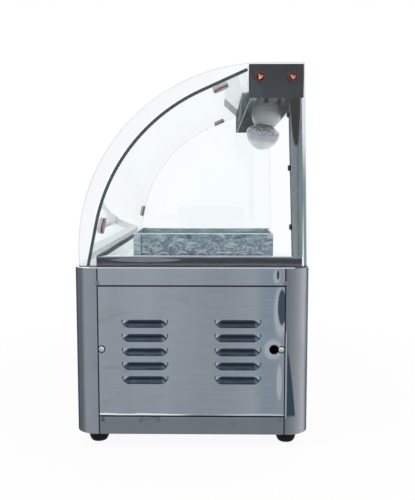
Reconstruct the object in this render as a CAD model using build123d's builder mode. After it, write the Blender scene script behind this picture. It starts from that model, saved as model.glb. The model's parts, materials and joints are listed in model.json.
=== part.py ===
from build123d import *
from math import asin, cos, degrees, radians, sin, sqrt
import os

# Counter-top roller grill with a glazed hood, in millimetres.
# The origin is on the table, under the middle of the machine. +X runs along the rollers to the drive
# end, +Y to the open serving side at the back, and +Z up. The curved front glass faces -Y.

os.makedirs("parts", exist_ok=True)

# Overall sizes
width = 580
depth = 300
body_height = 214
foot_height = 17
pane_top = 484
corner_radius = 27
sheet = 1.5
seam = 0.3

# Base casing
column_width = 31.6
top_rail_height = 22
bottom_rail_height = 23.6
rail_return = 14
pan_flange = 10
foot_diameter = 27
foot_tread = 17
foot_inset = 27

# Louvred side panels
louvre_length = 59
louvre_height = 10.4
louvre_depth = 4.5
louvre_slope = 56
louvre_corner = 9.6
louvre_pitch = 18.2
louvre_rows = 5
louvre_spread = 117.5
louvre_drop = 0.6
panel_head_diameter = 8
panel_head_height = 2.4
panel_head_slope = 35
panel_screw_inset = 4.2
panel_screw_rise = 3
finger_hole_diameter = 11.5
finger_hole_inset = 13.5

# Deck and rim
rim_height = 14
rim_width = 12
rim_inset = 12
rim_front = -121.5
rim_rear = 140.5
rim_corner = 6

# Roller bed
roller_count = 5
roller_diameter = 25
roller_pitch = 34
roller_wall = 1.6
roller_rise = 2.5
bed_centre = 14.5
bed_margin = 8
bed_depth = 39
left_plate_inset = 32
drive_room = 95
plate_thickness = 2.5
end_gap = 3.5
journal_diameter = 14
journal_bore = 9.2
bush_wall = 2
bush_flange = 2
running_clearance = 0.05
heater_diameter = 8

# Chain drive
teeth = 8
chain_pitch = 9.525
sprocket_width = 5
sprocket_reach = 38
chain_thickness = 3
tip_clearance = 0.4
motor_axis_drop = 97
gearbox_size = 60
gearbox_length = 30
motor_diameter = 50
motor_length = 40
drive_shaft_diameter = 8
plate_drop = 134
plate_shoulder = 4

# Drive housing
housing_inset = 30
housing_top = 273
lid_drop = 6
lid_skirt = 8

# Drip tray
tray_height = 23
tray_gap = 4
tray_drive_margin = 15
tray_left_margin = 8
tray_rear_margin = 47
tray_front_margin = 5
tray_rail_width = 12
handle_length = 90
handle_reach = 19
handle_rod = 7

# Controls on the front
plate_length = 300
plate_height = 66
plate_centre_z = 92
knob_spacing = 66
knob_reach = 22
knob_diameter = 36
knob_skirt = 42
knob_flutes = 8
thermostat_diameter = 36
thermostat_depth = 28
knob_shaft = 6
switch_width = 20
switch_height = 27
switch_spacing = 34
switch_depth = 14
rocker_tilt = 8
pilot_diameter = 11
pilot_spacing = 26

# Hood
pane_thickness = 5
pane_inset = 4.5
pane_radius = 232
pane_centre_y = 90
pane_rear_top = 139
pane_rear_bottom = 145.5
glass_thickness = 4
glass_foot_y = -132.7
glass_leg = 54
glass_radius = 233
leg_angle = 78.4
roof_angle = 24
stud_diameter = 21
stud_thickness = 3
stud_inset = 37
stud_leg_distance = 50
stud_roof_y = 35

# Top beam
beam_front = 71
beam_rear = 138.5
beam_height = 41
beam_drop = 1.5
beam_lip = 3
cap_screw_spacing = 40
cap_screw_drop = 17.5
cap_screw_diameter = 5
cap_head_diameter = 9.3
head_height = 3
cap_screw_length = 12
washer_diameter = 13
washer_thickness = 1.2

# Wiring post and lamp
post_width = 13
post_top_inset = 11.5
post_top_depth = 17.5
post_foot_inset = 10
post_foot_depth = 12.5
lamp_x = 40
lamp_y = 115
lamp_tilt = 9
rose_diameter = 38
rose_height = 12
holder_height = 50
holder_waist_height = 34
holder_waist_diameter = 46.4
holder_mouth_diameter = 33
ear_width = 7
ear_spacing = 22
bulb_diameter = 53
bulb_length = 38
bulb_neck_diameter = 27
bulb_shoulder = 22

# Back of the base
gland_inset = 75
gland_z = 60
gland_bore = 8.5
gland_hex = 22
gland_reach = 22
gland_inside = 8
terminal_offset = 70
terminal_inset = 60
terminal_length = 66
terminal_depth = 22
terminal_base = 10
terminal_cell_length = 8
terminal_cell_depth = 16
terminal_cell_height = 9
terminal_pitch = 11
terminal_cells = 6
vent_length = 34
vent_height = 4
vent_columns = 5
vent_rows = 2

# Places worked out from the sizes above
half_width = width / 2
half_depth = depth / 2
body_top = foot_height + body_height
deck_top = body_top + sheet
rim_top = deck_top + rim_height - sheet
rim_x = half_width - rim_inset
column_x = half_width - column_width
column_y = half_depth - column_width
panel_bottom = foot_height + bottom_rail_height
panel_top = body_top - top_rail_height
roller_radius = roller_diameter / 2
roller_z = rim_top - roller_radius - roller_rise
roller_span = (roller_count - 1) * roller_pitch
roller_places = [bed_centre + (i - (roller_count - 1) / 2) * roller_pitch for i in range(roller_count)]
bed_front = bed_centre - roller_span / 2 - roller_radius - bed_margin
bed_rear = bed_centre + roller_span / 2 + roller_radius + bed_margin
bed_bottom = body_top - bed_depth
left_plate_x = left_plate_inset - half_width
housing_outer_x = half_width - housing_inset
right_plate_x = housing_outer_x - drive_room
sprocket_x = right_plate_x + sprocket_reach
well_left = left_plate_x - end_gap - bush_flange
well_right = housing_outer_x - sheet
journal_radius = journal_diameter / 2
bush_radius = journal_radius + running_clearance + bush_wall
pitch_radius = chain_pitch / 2 / sin(radians(180 / teeth))
tip_radius = pitch_radius + 1.5
seat_radius = chain_pitch / 3
motor_z = roller_z - motor_axis_drop
plate_bottom = body_top - plate_drop
tray_top = bed_bottom - tray_gap
tray_bottom = tray_top - tray_height
tray_left_x = left_plate_x + tray_left_margin
tray_right_x = right_plate_x - tray_drive_margin
tray_rear = half_depth - tray_rear_margin
gland_x = gland_inset - half_width
quarter_turn = 90
pane_outer_x = half_width - pane_inset
pane_inner_x = pane_outer_x - pane_thickness
pane_bottom = deck_top
pane_centre_z = pane_top - pane_radius
beam_top = pane_top - beam_drop
beam_bottom = beam_top - beam_height
beam_centre_y = (beam_front + beam_rear) / 2
beam_depth = beam_rear - beam_front
post_top_rear = half_depth - post_top_inset
post_foot_rear = half_depth - post_foot_inset
control_y = -half_depth - seam - sheet


def dome_arc(edge_radius, edge_height, top_height):
    """A spherical cap's profile, from its edge up to the axis."""
    rise = top_height - edge_height
    cap_radius = (edge_radius**2 + rise**2) / (2 * rise)
    start = degrees(asin((cap_radius - rise) / cap_radius))
    return CenterArc((0, top_height - cap_radius), cap_radius, start, quarter_turn - start)


def save(part, name):
    """Labels a finished piece and writes it."""
    part.label = name
    export_step(part, f"parts/{name}.step")


# Base casing: four rounded corner posts with rails and panels between them
for side, x_sign in (("right", 1), ("left", -1)):
    for end, y_sign in (("front", -1), ("rear", 1)):
        with BuildPart() as corner_post:
            with BuildSketch(Plane.XY.offset(foot_height)):
                RectangleRounded(width, depth, corner_radius)
                RectangleRounded(width - 2 * sheet, depth - 2 * sheet, corner_radius - sheet, mode=Mode.SUBTRACT)
                with Locations((x_sign * (column_x + column_width / 2), y_sign * (column_y + column_width / 2))):
                    Rectangle(column_width, column_width, mode=Mode.INTERSECT)
            extrude(amount=body_height)
        save(corner_post.part, f"corner_post_{end}_{side}")

with BuildPart() as top_rails:
    with BuildSketch(Plane.XZ.offset(-column_y + seam)):
        with BuildLine():
            Polyline(
                (half_width, body_top),
                (half_width, panel_top),
                (half_width - sheet, panel_top),
                (half_width - sheet, body_top - sheet),
                (half_width - rail_return, body_top - sheet),
                (half_width - rail_return, body_top),
                close=True,
            )
        make_face()
    extrude(amount=2 * (column_y - seam))
    mirror(about=Plane.YZ)
save(top_rails.part, "top_rails")

with BuildPart() as bottom_rails:
    with BuildSketch(Plane.XZ.offset(-column_y + seam)):
        with BuildLine():
            Polyline(
                (half_width, foot_height),
                (half_width, panel_bottom),
                (half_width - rail_return, panel_bottom),
                (half_width - rail_return, panel_bottom - sheet),
                (half_width - sheet, panel_bottom - sheet),
                (half_width - sheet, foot_height),
                close=True,
            )
        make_face()
    extrude(amount=2 * (column_y - seam))
    mirror(about=Plane.YZ)
save(bottom_rails.part, "bottom_rails")

with BuildPart() as bottom_pan:
    with BuildSketch(Plane.XY.offset(foot_height)):
        RectangleRounded(width - 2 * (sheet + seam), depth - 2 * (sheet + seam), corner_radius - sheet - seam)
    extrude(amount=pan_flange)
    with BuildSketch(Plane.XY.offset(foot_height + sheet)):
        pan_inside = 2 * sheet + seam
        RectangleRounded(width - 2 * pan_inside, depth - 2 * pan_inside, corner_radius - pan_inside)
    extrude(amount=pan_flange, mode=Mode.SUBTRACT)
save(bottom_pan.part, "bottom_pan")

foot_x = half_width - foot_inset
foot_y = half_depth - foot_inset
with BuildPart() as feet:
    with BuildSketch(Plane.XZ):
        with BuildLine():
            Polyline(
                (0, 0),
                (foot_tread / 2, 0),
                (foot_diameter * 0.46, foot_height * 0.32),
                (foot_diameter / 2, foot_height),
                (0, foot_height),
                close=True,
            )
        make_face()
    revolve(axis=Axis.Z)
foot = feet.part
with BuildPart() as feet:
    with GridLocations(2 * foot_x, 2 * foot_y, 2, 2):
        add(foot)
save(feet.part, "feet")

# Louvred side panels: each louvre is cut along its straight top edge and pressed inwards below it
panel_width = 2 * (column_y - seam)
panel_height = panel_top - panel_bottom - 2 * seam
panel_centre_z = (panel_top + panel_bottom) / 2
panel_face = Plane(origin=(half_width, 0, panel_centre_z), x_dir=(0, 1, 0), z_dir=(1, 0, 0))

with BuildPart() as louvre_press:
    with BuildSketch(Plane.XY):
        RectangleRounded(louvre_length, 2 * louvre_height, louvre_corner)
    extrude(amount=-louvre_depth, taper=louvre_slope)
    with BuildSketch(Plane.XY):
        with Locations((0, louvre_height)):
            Rectangle(2 * louvre_length, 2 * louvre_height)
    extrude(amount=-2 * louvre_depth, mode=Mode.SUBTRACT)
louvre_tops = GridLocations(louvre_spread, louvre_pitch, 2, louvre_rows)
louvre_rise = louvre_height / 2 - louvre_drop
louvre_places = [(place.position.X, place.position.Y + louvre_rise) for place in louvre_tops]

screw_y = panel_width / 2 - panel_screw_inset
finger_y = panel_width / 2 - finger_hole_inset
with BuildPart() as side_panel:
    with BuildSketch(panel_face):
        Rectangle(panel_width, panel_height)
    extrude(amount=-sheet)
    with Locations(panel_face.offset(-sheet)):
        with Locations(*louvre_places):
            add(louvre_press.part)
    with Locations(panel_face):
        with Locations(*louvre_places):
            add(louvre_press.part, mode=Mode.SUBTRACT)
    with BuildSketch(panel_face):
        with Locations((finger_y, panel_screw_rise)):
            Circle(finger_hole_diameter / 2)
        with Locations((-screw_y, panel_screw_rise), (screw_y, panel_screw_rise)):
            Circle(cap_screw_diameter / 2 + seam)
    extrude(amount=-sheet, mode=Mode.SUBTRACT)
save(side_panel.part, "side_panel_right")
with BuildPart() as side_panel_left:
    mirror(side_panel.part, about=Plane.YZ)
save(side_panel_left.part, "side_panel_left")

# Pan-head screws that hold the side panels
with BuildPart() as pan_head:
    with BuildSketch(Plane.XY):
        Circle(panel_head_diameter / 2)
    extrude(amount=panel_head_height, taper=panel_head_slope)
with BuildPart() as side_screws:
    with Locations(panel_face):
        with Locations((-screw_y, panel_screw_rise), (screw_y, panel_screw_rise)):
            add(pan_head.part)
    mirror(about=Plane.YZ)
save(side_screws.part, "side_screws")

# Deck: one sheet with the roller well cut out of it, and a folded rim on all sides but the serving side
rim_centre_y = (rim_front + rim_rear) / 2
rim_length = rim_rear - rim_front
with BuildPart() as deck:
    with BuildSketch(Plane.XY.offset(body_top)):
        RectangleRounded(width, depth, corner_radius)
    extrude(amount=sheet)
    with BuildSketch(Plane.XY.offset(body_top)):
        with Locations((0, rim_centre_y)):
            RectangleRounded(2 * rim_x, rim_length, rim_corner)
        with Locations((0, rim_centre_y + rim_width)):
            Rectangle(2 * (rim_x - rim_width), rim_length, mode=Mode.SUBTRACT)
    extrude(amount=rim_top - body_top)
    with BuildSketch(Plane.XY.offset(body_top)):
        with Locations((0, rim_centre_y)):
            RectangleRounded(2 * (rim_x - sheet), rim_length - 2 * sheet, rim_corner - sheet)
        with Locations((0, rim_centre_y + rim_width - sheet)):
            Rectangle(2 * (rim_x - rim_width + sheet), rim_length, mode=Mode.SUBTRACT)
    extrude(amount=rim_top - body_top - sheet, mode=Mode.SUBTRACT)
    with BuildSketch(Plane.XY.offset(body_top)):
        with Locations(((well_left + well_right) / 2, bed_centre)):
            Rectangle(well_right - well_left, bed_rear - bed_front)
    extrude(amount=sheet, mode=Mode.SUBTRACT)
save(deck.part, "deck")

# Roller bed: two long walls hung under the deck, closed at the ends by the bearing plates
with BuildPart() as bed_walls:
    with BuildSketch(Plane.XY.offset(bed_bottom)):
        for wall_y in (bed_front - sheet / 2, bed_rear + sheet / 2):
            with Locations(((well_left + well_right) / 2, wall_y)):
                Rectangle(well_right - well_left, sheet)
    extrude(amount=bed_depth)
save(bed_walls.part, "bed_walls")

plate_width = bed_rear - bed_front - 2 * seam
roller_points = [(y, roller_z) for y in roller_places]
with BuildPart() as bearing_plate_left:
    with BuildSketch(Plane.YZ.offset(left_plate_x)):
        with Locations((bed_centre, (bed_bottom + rim_top) / 2)):
            Rectangle(plate_width, rim_top - bed_bottom)
        with Locations(*roller_points):
            Circle(bush_radius + running_clearance, mode=Mode.SUBTRACT)
    extrude(amount=plate_thickness)
save(bearing_plate_left.part, "bearing_plate_left")

plate_top = housing_top - seam
with BuildPart() as bearing_plate_right:
    with BuildSketch(Plane.YZ.offset(right_plate_x)):
        with Locations((bed_centre, (plate_bottom + plate_top) / 2)):
            RectangleRounded(plate_width, plate_top - plate_bottom, plate_shoulder)
        with Locations(*roller_points):
            Circle(bush_radius + running_clearance, mode=Mode.SUBTRACT)
        with Locations((bed_centre, motor_z)):
            Circle(motor_diameter / 2 + seam, mode=Mode.SUBTRACT)
    extrude(amount=plate_thickness)
save(bearing_plate_right.part, "bearing_plate_right")

bush_bore = journal_radius + running_clearance
with BuildPart() as bush:
    with BuildSketch(Plane.XY):
        with BuildLine():
            Polyline(
                (seam - bush_flange, bush_bore),
                (seam - bush_flange, bush_radius + 1),
                (0, bush_radius + 1),
                (0, bush_radius),
                (plate_thickness, bush_radius),
                (plate_thickness, bush_bore),
                close=True,
            )
        make_face()
    revolve(axis=Axis.X)
with BuildPart() as bushes:
    with Locations(*[(left_plate_x, y, roller_z) for y in roller_places]):
        add(bush.part)
    with Locations(*[(right_plate_x, y, roller_z) for y in roller_places]):
        add(bush.part)
save(bushes.part, "bushes")

# Rollers: a chrome tube on hollow journals, with the sprocket on the drive end
tube_left = left_plate_x + plate_thickness + bush_flange + 1
tube_right = right_plate_x - bush_flange - 1
journal_left = left_plate_x - bush_flange - 1
journal_right = sprocket_x + sprocket_width + 3
bore_radius = journal_bore / 2
for number, y in enumerate(roller_places, start=1):
    with BuildPart() as roller:
        with BuildSketch(Plane.XZ.offset(-y)):
            with BuildLine():
                Polyline(
                    (journal_left, roller_z + bore_radius),
                    (journal_left, roller_z + journal_radius),
                    (tube_left, roller_z + journal_radius),
                    (tube_left, roller_z + roller_radius),
                    (tube_right, roller_z + roller_radius),
                    (tube_right, roller_z + journal_radius),
                    (journal_right, roller_z + journal_radius),
                    (journal_right, roller_z + bore_radius),
                    (tube_right - roller_wall, roller_z + bore_radius),
                    (tube_right - roller_wall, roller_z + roller_radius - roller_wall),
                    (tube_left + roller_wall, roller_z + roller_radius - roller_wall),
                    (tube_left + roller_wall, roller_z + bore_radius),
                    close=True,
                )
            make_face()
        revolve(axis=Axis((0, y, roller_z), (1, 0, 0)))
    save(roller.part, f"roller_{number}")

    with BuildPart() as sprocket:
        with BuildSketch(Plane.YZ.offset(sprocket_x)):
            with Locations((y, roller_z)):
                Circle(tip_radius)
                with PolarLocations(pitch_radius, teeth):
                    RegularPolygon(seat_radius, 6, major_radius=False, mode=Mode.SUBTRACT)
                Circle(journal_radius + running_clearance, mode=Mode.SUBTRACT)
        extrude(amount=sprocket_width)
    save(sprocket.part, f"sprocket_{number}")

with BuildPart() as heaters:
    with BuildSketch(Plane.YZ.offset(journal_left - 0.5)):
        with Locations(*roller_points):
            Circle(heater_diameter / 2)
    extrude(amount=journal_right + 12 - journal_left)
save(heaters.part, "heater_rods")

# Gear motor on the right bearing plate, with its sprocket and the chain round all of them
gearbox_x = right_plate_x + plate_thickness
with BuildPart() as gear_motor:
    with BuildSketch(Plane.YZ.offset(gearbox_x)):
        with Locations((bed_centre, motor_z)):
            RectangleRounded(gearbox_size, gearbox_size, 6)
    extrude(amount=gearbox_length)
    with BuildSketch(Plane.YZ.offset(gearbox_x)):
        with Locations((bed_centre, motor_z)):
            Circle(motor_diameter / 2)
    extrude(amount=-motor_length)
    chamfer(gear_motor.faces().sort_by(Axis.X)[0].edges(), length=3)
    with BuildSketch(Plane.YZ.offset(gearbox_x + gearbox_length)):
        with Locations((bed_centre, motor_z)):
            Circle(drive_shaft_diameter / 2 + running_clearance)
    extrude(amount=-gearbox_length / 2, mode=Mode.SUBTRACT)
save(gear_motor.part, "gear_motor")

with BuildPart() as drive_sprocket:
    with BuildSketch(Plane.YZ.offset(sprocket_x)):
        with Locations((bed_centre, motor_z)):
            Circle(tip_radius)
            with PolarLocations(pitch_radius, teeth):
                RegularPolygon(seat_radius, 6, major_radius=False, mode=Mode.SUBTRACT)
    extrude(amount=sprocket_width)
    with BuildSketch(Plane.YZ.offset(gearbox_x + gearbox_length / 2 + 1)):
        with Locations((bed_centre, motor_z)):
            Circle(drive_shaft_diameter / 2)
    extrude(amount=sprocket_x + sprocket_width + 2 - (gearbox_x + gearbox_length / 2 + 1))
save(drive_sprocket.part, "drive_sprocket")

chain_inner = tip_radius + tip_clearance
chain_turns = [(roller_places[0], roller_z), (roller_places[-1], roller_z), (bed_centre, motor_z)]
with BuildPart() as chain:
    with BuildSketch(Plane.YZ.offset(sprocket_x)) as chain_outline:
        with Locations(*chain_turns):
            Circle(chain_inner + chain_thickness)
        make_hull()
    extrude(amount=sprocket_width)
    with BuildSketch(Plane.YZ.offset(sprocket_x)) as chain_inside:
        with Locations(*chain_turns):
            Circle(chain_inner)
        make_hull()
    extrude(amount=sprocket_width, mode=Mode.SUBTRACT)
save(chain.part, "drive_chain")

# Drive housing: folded walls on the deck, closed by a lid let in between them and the bearing plate
housing_inner_x = right_plate_x + plate_thickness + seam
housing_length = housing_outer_x - housing_inner_x
housing_centre_x = (housing_outer_x + housing_inner_x) / 2
housing_width = bed_rear - bed_front + 2 * sheet
with BuildPart() as drive_housing:
    with BuildSketch(Plane.XY.offset(deck_top)):
        with Locations((housing_centre_x, bed_centre)):
            Rectangle(housing_length, housing_width)
        with Locations((housing_centre_x - sheet, bed_centre)):
            Rectangle(housing_length, housing_width - 2 * sheet, mode=Mode.SUBTRACT)
    extrude(amount=housing_top - deck_top)
save(drive_housing.part, "drive_housing")

lid_top = housing_top - lid_drop
lid_length = housing_length - sheet - seam
lid_width = housing_width - 2 * (sheet + seam)
with BuildPart() as housing_lid:
    with BuildSketch(Plane.XY.offset(lid_top - lid_skirt)):
        with Locations((housing_inner_x + lid_length / 2, bed_centre)):
            Rectangle(lid_length, lid_width)
    extrude(amount=lid_skirt)
    with BuildSketch(Plane.XY.offset(lid_top - lid_skirt)):
        with Locations((housing_inner_x + lid_length / 2, bed_centre)):
            Rectangle(lid_length - 2 * sheet, lid_width - 2 * sheet)
    extrude(amount=lid_skirt - sheet, mode=Mode.SUBTRACT)
save(housing_lid.part, "housing_lid")

# Drip tray, its pull and the rails that it slides on
tray_centre_x = (tray_left_x + tray_right_x) / 2
tray_width = tray_right_x - tray_left_x
tray_front = -half_depth - seam
with BuildPart() as drip_tray:
    with BuildSketch(Plane.XY.offset(tray_bottom)):
        with Locations((tray_centre_x, (tray_front + tray_rear) / 2)):
            Rectangle(tray_width, tray_rear - tray_front)
    extrude(amount=tray_height)
    with BuildSketch(Plane.XY.offset(tray_bottom + sheet)):
        with Locations((tray_centre_x, (tray_front + tray_rear) / 2)):
            Rectangle(tray_width - 2 * sheet, tray_rear - tray_front - 2 * sheet)
    extrude(amount=tray_height, mode=Mode.SUBTRACT)
    with BuildSketch(Plane.XZ.offset(-tray_front)):
        with Locations((tray_centre_x, tray_bottom + tray_height / 2)):
            Rectangle(tray_width + 2 * tray_front_margin, tray_height + 2 * tray_front_margin)
    extrude(amount=sheet)
save(drip_tray.part, "drip_tray")

handle_back = tray_front - sheet
handle_z = tray_bottom + tray_height / 2
with BuildPart() as tray_handle:
    with BuildSketch(Plane.XY.offset(handle_z - handle_rod / 2)):
        with Locations((tray_centre_x, handle_back - handle_reach / 2)):
            RectangleRounded(handle_length, handle_reach, 6)
            RectangleRounded(handle_length - 2 * handle_rod, handle_reach - handle_rod, 3, mode=Mode.SUBTRACT)
        with Locations((tray_centre_x, handle_back - (handle_reach - handle_rod) / 4)):
            Rectangle(handle_length - 2 * handle_rod, (handle_reach - handle_rod) / 2, mode=Mode.SUBTRACT)
    extrude(amount=handle_rod)
save(tray_handle.part, "tray_handle")

with BuildPart() as tray_rails:
    for side_sign, edge_x in ((-1, tray_left_x), (1, tray_right_x)):
        outer_x = edge_x + side_sign * (seam + sheet)
        inner_x = outer_x - side_sign * tray_rail_width
        with BuildSketch(Plane.XZ.offset(half_depth - 2 * sheet)):
            with BuildLine():
                Polyline(
                    (outer_x, tray_top),
                    (outer_x, tray_bottom - seam - sheet),
                    (inner_x, tray_bottom - seam - sheet),
                    (inner_x, tray_bottom - seam),
                    (outer_x - side_sign * sheet, tray_bottom - seam),
                    (outer_x - side_sign * sheet, tray_top),
                    close=True,
                )
            make_face()
        extrude(amount=-(2 * half_depth - 4 * sheet))
save(tray_rails.part, "tray_rails")

# Front panel with the tray slot and the holes behind the control plate
knob_places = [-1.5 * knob_spacing, -0.5 * knob_spacing]
switch_places = [0.5 * switch_spacing, 1.5 * switch_spacing]
pilot_places = [switch_places[-1] + switch_width / 2 + pilot_spacing * (i + 0.7) for i in range(2)]
panel_span = 2 * (column_x - seam)
with BuildPart() as front_panel:
    with BuildSketch(Plane.XZ.offset(half_depth)):
        with Locations((0, foot_height + body_height / 2)):
            Rectangle(panel_span, body_height)
        with Locations((tray_centre_x, tray_bottom + tray_height / 2)):
            Rectangle(tray_width + 2, tray_height + 2, mode=Mode.SUBTRACT)
        with Locations(*[(x, plate_centre_z) for x in knob_places]):
            Circle(knob_shaft / 2 + 1, mode=Mode.SUBTRACT)
        with Locations(*[(x, plate_centre_z) for x in switch_places]):
            Rectangle(switch_width + 2 * seam, switch_height + 2 * seam, mode=Mode.SUBTRACT)
        with Locations(*[(x, plate_centre_z) for x in pilot_places]):
            Circle(pilot_diameter / 2 + seam, mode=Mode.SUBTRACT)
    extrude(amount=-sheet)
save(front_panel.part, "front_panel")

with BuildPart() as control_plate:
    with BuildSketch(Plane.XZ.offset(-control_y)):
        with Locations((0, plate_centre_z)):
            RectangleRounded(plate_length, plate_height, 4)
        with Locations(*[(x, plate_centre_z) for x in knob_places]):
            Circle(knob_shaft / 2 + 1, mode=Mode.SUBTRACT)
        with Locations(*[(x, plate_centre_z) for x in switch_places]):
            Rectangle(switch_width + 2 * seam, switch_height + 2 * seam, mode=Mode.SUBTRACT)
        with Locations(*[(x, plate_centre_z) for x in pilot_places]):
            Circle(pilot_diameter / 2 + seam, mode=Mode.SUBTRACT)
    extrude(amount=-sheet)
save(control_plate.part, "control_plate")

shaft_back = -half_depth + sheet + thermostat_depth * 0.6
knob_front = -half_depth - knob_reach
for number, x in enumerate(knob_places, start=1):
    with BuildPart() as knob:
        with BuildSketch(Plane.XZ.offset(-(control_y - 2 * seam))):
            with Locations((x, plate_centre_z)):
                Circle(knob_skirt / 2)
        extrude(amount=4)
        with BuildSketch(Plane.XZ.offset(-(control_y - 2 * seam - 4))):
            with Locations((x, plate_centre_z)):
                Circle(knob_diameter / 2)
                with PolarLocations(knob_diameter / 2 + 1.5, knob_flutes):
                    Circle(3.2, mode=Mode.SUBTRACT)
        extrude(amount=control_y - 2 * seam - 4 - knob_front)
        with BuildSketch(Plane.XZ.offset(-(control_y - 2 * seam))):
            with Locations((x, plate_centre_z)):
                Circle(knob_shaft / 2)
        extrude(amount=-(shaft_back - control_y + 2 * seam))
    save(knob.part, f"knob_{number}")

with BuildPart() as thermostats:
    with BuildSketch(Plane.XZ.offset(half_depth - sheet - seam)):
        with Locations(*[(x, plate_centre_z) for x in knob_places]):
            Circle(thermostat_diameter / 2)
    extrude(amount=-thermostat_depth)
    with BuildSketch(Plane.XZ.offset(half_depth - sheet - seam)):
        with Locations(*[(x, plate_centre_z) for x in knob_places]):
            Circle(knob_shaft / 2 + running_clearance)
    extrude(amount=-thermostat_depth * 0.75, mode=Mode.SUBTRACT)
save(thermostats.part, "thermostats")

# Rocker switches: a framed body with a tilting rocker on two short pivots
pivot_y = -half_depth + 1
pivot_radius = 1.5
switch_wall = 1.5
bezel = 2
bezel_thickness = 1.4
switch_back = switch_depth - half_depth
switch_front = control_y - bezel_thickness
with BuildPart() as switch_bodies:
    with BuildSketch(Plane.XZ.offset(-switch_front)):
        with Locations(*[(x, plate_centre_z) for x in switch_places]):
            Rectangle(switch_width + 2 * bezel, switch_height + 2 * bezel)
    extrude(amount=-bezel_thickness)
    with BuildSketch(Plane.XZ.offset(-control_y)):
        with Locations(*[(x, plate_centre_z) for x in switch_places]):
            Rectangle(switch_width, switch_height)
    extrude(amount=-(switch_back - control_y))
    with BuildSketch(Plane.XZ.offset(-switch_front)):
        with Locations(*[(x, plate_centre_z) for x in switch_places]):
            Rectangle(switch_width - 2 * switch_wall, switch_height - 2 * switch_wall)
    extrude(amount=-(switch_back - switch_wall - switch_front), mode=Mode.SUBTRACT)
    with BuildSketch(Plane.YZ.offset(switch_places[0])):
        with Locations((pivot_y, plate_centre_z)):
            Circle(pivot_radius + running_clearance)
    extrude(amount=switch_width / 2 - 0.4, both=True, mode=Mode.SUBTRACT)
    with BuildSketch(Plane.YZ.offset(switch_places[1])):
        with Locations((pivot_y, plate_centre_z)):
            Circle(pivot_radius + running_clearance)
    extrude(amount=switch_width / 2 - 0.4, both=True, mode=Mode.SUBTRACT)
save(switch_bodies.part, "switch_bodies")

rocker_half = switch_height / 2 - switch_wall - 1.6
for name, x in zip(("power_rocker", "lamp_rocker"), switch_places):
    upright = Plane(origin=(x, pivot_y, plate_centre_z), x_dir=(0, 1, 0), z_dir=(1, 0, 0))
    tilted = upright.rotated((-rocker_tilt, 0, 0))
    with BuildPart() as rocker:
        with BuildSketch(tilted):
            with BuildLine():
                Polyline((-6, rocker_half), (-4, 0), (-6, -rocker_half), (4, -rocker_half + 3), (4, rocker_half - 3),
                         close=True)
            make_face()
        extrude(amount=switch_width / 2 - switch_wall - seam, both=True)
        with BuildSketch(tilted):
            Circle(pivot_radius)
        extrude(amount=switch_width / 2 - 0.7, both=True)
    save(rocker.part, name)

with BuildPart() as pilot_lights:
    with BuildSketch(Plane.XZ.offset(-control_y)):
        with Locations(*[(x, plate_centre_z) for x in pilot_places]):
            Circle(pilot_diameter / 2)
    extrude(amount=-16)
    with BuildSketch(Plane.XZ.offset(-control_y)):
        with Locations(*[(x, plate_centre_z) for x in pilot_places]):
            Circle(pilot_diameter / 2 + 1.5)
    extrude(amount=3.5, taper=20)
save(pilot_lights.part, "pilot_lights")

# Back panel with its vent slots and the cable gland
with BuildPart() as rear_panel:
    with BuildSketch(Plane.XZ.offset(-half_depth + sheet)):
        with Locations((0, foot_height + body_height / 2)):
            Rectangle(panel_span, body_height)
            with GridLocations(vent_length * 1.6, vent_height * 3, vent_columns, vent_rows):
                SlotOverall(vent_length, vent_height, mode=Mode.SUBTRACT)
        with Locations((gland_x, gland_z)):
            Circle(gland_bore / 2 + 4, mode=Mode.SUBTRACT)
    extrude(amount=-sheet)
save(rear_panel.part, "rear_panel")

with BuildPart() as cable_gland:
    with BuildSketch(Plane.XZ.offset(-half_depth)):
        with Locations((gland_x, gland_z)):
            RegularPolygon(gland_hex / 2, 6, major_radius=False)
    extrude(amount=-gland_reach * 0.4)
    with BuildSketch(Plane.XZ.offset(-half_depth - gland_reach * 0.4)):
        with Locations((gland_x, gland_z)):
            Circle(gland_hex / 2 - 1)
    extrude(amount=-gland_reach * 0.6)
    chamfer(cable_gland.faces().sort_by(Axis.Y)[-1].edges(), length=3)
    with BuildSketch(Plane.XZ.offset(-half_depth)):
        with Locations((gland_x, gland_z)):
            Circle(gland_bore / 2 + 4 - seam)
    extrude(amount=gland_inside)
    with BuildSketch(Plane.XZ.offset(-half_depth - gland_reach)):
        with Locations((gland_x, gland_z)):
            Circle(gland_bore / 2)
    extrude(amount=gland_reach + gland_inside, mode=Mode.SUBTRACT)
save(cable_gland.part, "cable_gland")

with BuildPart() as terminal_block:
    with BuildSketch(Plane.XY.offset(foot_height + sheet)):
        with Locations((gland_x + terminal_offset, half_depth - terminal_inset)):
            Rectangle(terminal_length, terminal_depth)
    extrude(amount=terminal_base)
    with BuildSketch(Plane.XY.offset(foot_height + sheet + terminal_base)):
        with Locations((gland_x + terminal_offset, half_depth - terminal_inset)):
            with GridLocations(terminal_pitch, 1, terminal_cells, 1):
                Rectangle(terminal_cell_length, terminal_cell_depth)
    extrude(amount=terminal_cell_height)
save(terminal_block.part, "terminal_block")

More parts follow.
